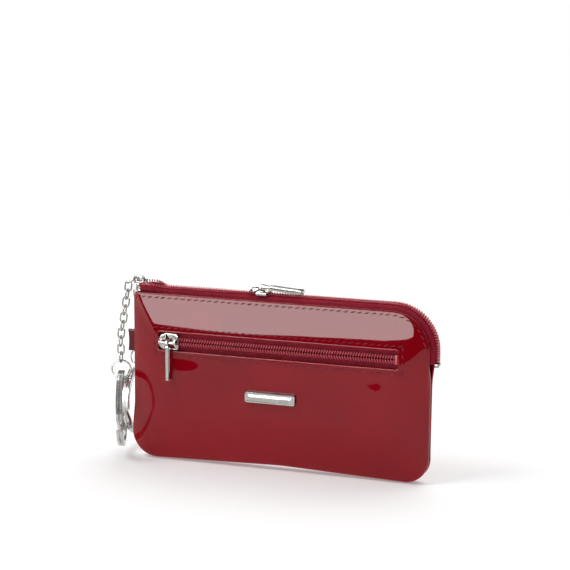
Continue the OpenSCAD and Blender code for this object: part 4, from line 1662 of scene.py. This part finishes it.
@dataclass
class ChainWork:
    """Chains, jump rings, split rings and the ring that anchors them."""

    finishes: Finishes
    pitch: float = 3.9
    slack: float = 1.15
    wire: float = 0.4
    inner_w: float = 2.4
    jump_r: float = 4.45
    jump_wire: float = 0.45
    split_r: float = 15.6
    split_w: float = 2.6
    split_h: float = 3.2
    turn_a: float = 19.5
    hang_a: Flat = (-81.3, -2.0)
    hang_b: Flat = (-78.5, 13.4)
    hanging: int = 3
    rest_on_wire: float = 0.45
    anchor_wire: float = 0.45
    anchor_rise: float = 0.4
    anchors: tuple[Flat, Flat] = ((2.6, 90.0), (2.1, 50.0))
    route_a: tuple[tuple[float, float, float], ...] = (
        (-66.4, -1, 71.6), (-66.4, -0.92, 75.5), (-66.4, -0.73, 79.4), (-67.16, -0.84, 83.22),
        (-69.59, -1.11, 86.26), (-73.44, -1.57, 86.72), (-76.57, -1.99, 84.43))
    route_b: tuple[tuple[float, float, float], ...] = (
        (-69, 1, 68.8), (-69.76, 1, 72.62), (-70.34, 1, 76.48), (-70.73, 1.19, 80.36),
        (-72.59, 2.49, 83.53), (-75.17, 5.34, 84.15), (-77.14, 8.36, 82.67))
    links: bpy.types.NodeTree = field(default_factory=link_tree)

    def chain(self, node: str, body: str, route: Sequence[Vector], headings: Flat,
              first_across: bool) -> None:
        """Grows the links of one stretch, turned a quarter from one to the next.

        Args:
            node: The node they stand for.
            body: The body they ride on.
            route: The points where the links cross.
            headings: Degrees that the links' planes are turned at both ends.
            first_across: Whether the first link lies across.
        """
        n = len(route) - 1
        mesh = bpy.data.meshes.new(node)
        places, along, wide = [], [], []
        for i in range(n):
            d = (route[i + 1] - route[i]).normalized()
            heading = math.radians(lerp(headings[0], headings[1], (i + 0.5) / n))
            w = Vector((-math.sin(heading), math.cos(heading), 0))
            level = (w - d * w.dot(d)).normalized()
            across = (i % 2 == 0) == first_across
            places.append(tuple((route[i] + route[i + 1]) / 2 * MM))
            along.append(d)
            wide.append(level if across else d.cross(level))
        mesh.from_pydata(places, [], [])
        for name, values in (("along", along), ("wide", wide)):
            attribute = mesh.attributes.new(name, "FLOAT_VECTOR", "POINT")
            attribute.data.foreach_set("vector", [c for v in values for c in v])
        piece = grow(node + "_links", mesh, self.links, self.finishes[Slot.NICKEL],
                     Wire=self.wire * MM, Width=(self.inner_w + 2 * self.wire) * MM,
                     Length=(self.pitch + self.slack) * MM)
        settle(piece, body, Slot.NICKEL, node)

    def wire_ring(self, centre: Vector, radius: float, wire: float, turn: float, joint: float) -> Solid:
        """A ring bent from wire, with the thin gap of its butt joint.

        Args:
            centre: Its middle.
            radius: To the wire's centre.
            wire: The wire's radius.
            turn: Degrees that its plane is turned from XZ about Z.
            joint: Degrees round the ring where the joint is.

        Returns:
            A closed shell.
        """
        loops, gap, count = [], 1.4, 72
        for k in range(count + 1):
            a = math.radians(joint + gap + (360 - 2 * gap) * k / count)
            out = Vector((math.cos(a), 0, math.sin(a)))
            thin = 0.82 if k in (0, count) else 1.0
            loops.append([out * (radius + math.cos(t) * wire * thin)
                          + Vector((0, math.sin(t) * wire * thin, 0))
                          for t in circle(16)])
        place = Matrix.Translation(centre) @ Matrix.Rotation(math.radians(turn), 4, "Z")
        return moved(bridge(loops), place)

    def split_ring(self, centre: Vector, turn: float, start: float) -> Solid:
        """A split ring: two turns of flat wire pressed together, crossing over once.

        Args:
            centre: Its middle.
            turn: Degrees that its plane is turned from YZ about Z.
            start: Degrees round the ring where the wire starts.

        Returns:
            A closed shell.
        """
        loops, steps, turns = [], 210, 1.97
        r0, r1, h = self.split_r, self.split_r + self.split_w, self.split_h
        each = h / 2 - 0.05
        trim = 0.28
        for k in range(steps + 1):
            t = k / steps
            a = math.radians(start) + 2 * math.pi * turns * t
            shift = lerp(-h / 4, h / 4, smooth((t * turns - 0.93) / 0.12))
            out = Vector((0, math.cos(a), math.sin(a)))
            close = 0.75 if k in (0, steps) else 1.0
            half = each / 2 * close
            section = ((r0, -half + trim), (r0 + trim, -half), (r1 - trim, -half), (r1, -half + trim),
                       (r1, half - trim), (r1 - trim, half), (r0 + trim, half), (r0, half - trim))
            loops.append([out * r + Vector((shift + x, 0, 0)) for r, x in section])
        place = Matrix.Translation(centre) @ Matrix.Rotation(math.radians(turn), 4, "Z")
        return moved(bridge(loops), place)

    def build_side(self, word: str, route: Sequence[Sequence[float]], hang: Flat, links: int,
                   turns: tuple[Flat, Flat, Flat], across: bool, ring_turn: float) -> None:
        """One chain with its jump ring and split ring.

        Args:
            word: "a" or "b".
            route: The crossing points of the links fixed to the pouch.
            hang: X and Y of the foot of the hanging part.
            links: Links from the pouch's shoulder to the knee.
            turns: Headings of the inner, upper and lower links.
            across: Whether the lower stretch starts with a link across.
            ring_turn: Degrees that both rings are turned.
        """
        inner = [Vector(p) for p in route]
        start = inner[-1]
        drop = math.sqrt((links * self.pitch) ** 2 - (hang[0] - start.x) ** 2 - (hang[1] - start.y) ** 2)
        knee = Vector((hang[0], hang[1], start.z - drop))
        foot = knee - Vector((0, 0, self.hanging * self.pitch))
        upper = [start.lerp(knee, i / links) for i in range(links + 1)]
        lower = [knee.lerp(foot, i / self.hanging) for i in range(self.hanging + 1)]
        self.chain(f"chain_{word}_inner", HOME, inner, turns[0], False)
        self.chain(f"chain_{word}_upper", f"chain_{word}_upper", upper, turns[1], False)
        self.chain(f"chain_{word}_lower", f"chain_{word}_lower", lower, turns[2], across)
        jump = foot + Vector((0, 0, self.rest_on_wire - self.jump_r))
        split = jump + Vector((0, 0, -self.jump_r + self.jump_wire + 0.38 - self.split_r))
        steel = self.finishes[Slot.STEEL]
        ring = make_piece(f"jump_ring_{word}_wire",
                          self.wire_ring(jump, self.jump_r, self.jump_wire, ring_turn, 10.0), steel)
        settle(ring, f"jump_ring_{word}", Slot.STEEL, f"jump_ring_{word}")
        key_ring = make_piece(f"split_ring_{word}_wire", self.split_ring(split, ring_turn, 200.0), steel)
        settle(key_ring, f"split_ring_{word}", Slot.STEEL, f"split_ring_{word}")

    def build(self) -> None:
        """Makes both chains and the ring inside the pouch."""
        self.build_side("a", self.route_a, self.hang_a, 7, ((180, 180), (180, 180), (180, 180)),
                        True, self.turn_a)
        self.build_side("b", self.route_b, self.hang_b, 6, ((140, 115), (120, 90), (90, 90)),
                        False, 0.0)
        rings = [self.wire_ring(Vector(route[0]) + Vector((0, 0, self.anchor_rise - radius)), radius,
                                self.anchor_wire, turn, 270.0)
                 for route, (radius, turn) in zip((self.route_a, self.route_b), self.anchors)]
        anchor = make_piece("anchor_ring_wire", together(rings), self.finishes[Slot.NICKEL])
        settle(anchor, HOME, Slot.NICKEL, "anchor_ring")


@dataclass
class Plaque:
    """The plain metal bar on the front, held by two pegs."""

    finishes: Finishes
    x0: float = -15.5
    x1: float = 9.0
    z: float = 35.8
    height: float = 5.0
    back_y: float = -9.0
    thick: float = 0.9
    corner_r: float = 1.1
    peg_r: float = 0.7
    peg_x: Flat = (-12.5, 6.0)
    peg_back: float = -7.9

    def frame_loop(self, inset: float, y: float) -> Loop:
        """A rounded rectangle.

        Args:
            inset: How far inside the bar's outline it lies.
            y: Its depth.

        Returns:
            The loop's points.
        """
        low = self.x0 + inset, self.z - self.height / 2 + inset
        high = self.x1 - inset, self.z + self.height / 2 - inset
        return [Vector((x, y, z)) for x, z in rounded_corners(low, high, max(self.corner_r - inset, 0.3), 6)]

    def build(self) -> None:
        """Makes the bar with a raised rim round a sunk field, and its pegs."""
        top = self.back_y - self.thick
        back = self.back_y + 0.55
        bar = bridge([self.frame_loop(0.15, back), self.frame_loop(0.0, back - 0.15),
                      self.frame_loop(0.0, top + 0.25), self.frame_loop(0.22, top),
                      self.frame_loop(0.7, top), self.frame_loop(0.95, top + 0.3),
                      self.frame_loop(1.7, top + 0.22), self.frame_loop(2.2, top + 0.12)])
        pegs = [rod(Vector((x, self.peg_back, self.z)), Vector((x, self.back_y, self.z)),
                    ((0, self.peg_r), (1, self.peg_r))) for x in self.peg_x]
        piece = make_piece("front_plaque_metal", together([bar, *pegs]), self.finishes[Slot.NICKEL])
        settle(piece, HOME, Slot.NICKEL, "front_plaque")


@dataclass
class Studio:
    """Floor, lights and camera."""

    lens: float = 126.3
    place: tuple[float, float, float] = (0.3023, -0.8508, 0.2734)
    look: tuple[float, float, float] = (-0.3270, 0.9234, -0.2011)
    floor_x: float = 1.2
    floor_y: Flat = (-0.30, 0.75)
    floor_z: float = -0.0002
    floor_glow: float = 0.26
    room: Flat = (0.04, 0.35)

    def floor(self) -> None:
        """A plain pale floor."""
        mesh = bpy.data.meshes.new("floor")
        (near, far), half, z = self.floor_y, self.floor_x, self.floor_z
        mesh.from_pydata([(-half, near, z), (half, near, z), (half, far, z), (-half, far, z)], [],
                         [(0, 1, 2, 3)])
        floor = linked("floor", mesh)
        material = bpy.data.materials.new("floor_paper")
        material.use_nodes = True
        shader = material.node_tree.nodes["Principled BSDF"]
        shader.inputs["Base Color"].default_value = (0.88, 0.88, 0.88, 1.0)
        shader.inputs["Roughness"].default_value = 0.9
        shader.inputs["Specular IOR Level"].default_value = 0.1
        shader.inputs["Emission Color"].default_value = (1.0, 1.0, 1.0, 1.0)
        shader.inputs["Emission Strength"].default_value = self.floor_glow
        mesh.materials.append(material)

    def softbox(self, name: str, place: Sequence[float], aim: Sequence[float], size: Flat,
                radiance: float, card: bool = False) -> None:
        """A rectangular lamp.

        Args:
            name: The lamp's name.
            place: Where it stands, in metres.
            aim: The point that it faces.
            size: Its width and height.
            radiance: How bright its face is.
            card: True if it only shows up in reflections.
        """
        light = bpy.data.lights.new(name, "AREA")
        light.shape = "RECTANGLE"
        light.size, light.size_y = size
        light.energy = radiance * size[0] * size[1] * math.pi
        lamp = linked(name, light)
        lamp.location = place
        lamp.rotation_euler = (Vector(aim) - Vector(place)).to_track_quat("-Z", "Y").to_euler()
        lamp.visible_diffuse = not card

    def build(self) -> None:
        """Sets the whole studio."""
        self.floor()
        self.softbox("key_card", (-0.40, -1.13, 0.38), (0, 0, 0.38), (0.80, 0.78), 10.5, card=True)
        self.softbox("fill_softbox", (-0.8, -0.6, 1.3), (0, 0, 0), (0.7, 0.7), 6.3)
        self.softbox("top_softbox", (0.10, 0.8, 1.2), (0, 0.6, 0), (1.8, 1.2), 1.9)
        self.softbox("side_card", (1.2, -0.35, 0.45), (0, 0, 0.05), (0.30, 0.7), 2.0, card=True)
        world = bpy.data.worlds.new("studio_world")
        bpy.context.scene.world = world
        world.use_nodes = True
        tool = TreeTool(world.node_tree)
        seen = tool.add("ShaderNodeLightPath").outputs["Is Camera Ray"]
        where = tool.add("ShaderNodeTexCoord").outputs["Generated"]
        up = tool.add("ShaderNodeSeparateXYZ", None, Vector=where).outputs[2]
        room = tool.ramp(up, 0.0, 0.8, *self.room)
        strength = tool.math("MAXIMUM", seen, room)
        back = tool.add("ShaderNodeBackground", None, Color=(1, 1, 1, 1), Strength=strength)
        tool.add("ShaderNodeOutputWorld", None, Surface=back.outputs[0])
        data = bpy.data.cameras.new("view")
        data.lens, data.sensor_width = self.lens, 36.0
        camera = linked("view", data)
        camera.location = self.place
        camera.rotation_euler = Vector(self.look).to_track_quat("-Z", "Y").to_euler()
        bpy.context.scene.camera = camera
        bpy.context.scene.view_settings.view_transform = "Standard"


def main() -> None:
    """Builds the studio and every part of the pouch."""
    logging.basicConfig(level=logging.INFO, format="%(name)s: %(message)s")
    Studio().build()
    finishes = Finishes()
    shape, pocket = PouchShape(), PocketPlan()
    Leatherwork(shape, pocket, finishes).build()
    ZipWork(shape, pocket, finishes).build()
    SliderWork(shape, pocket, finishes).build()
    ChainWork(finishes).build()
    Plaque(finishes).build()


if __name__ == "__main__":
    main()
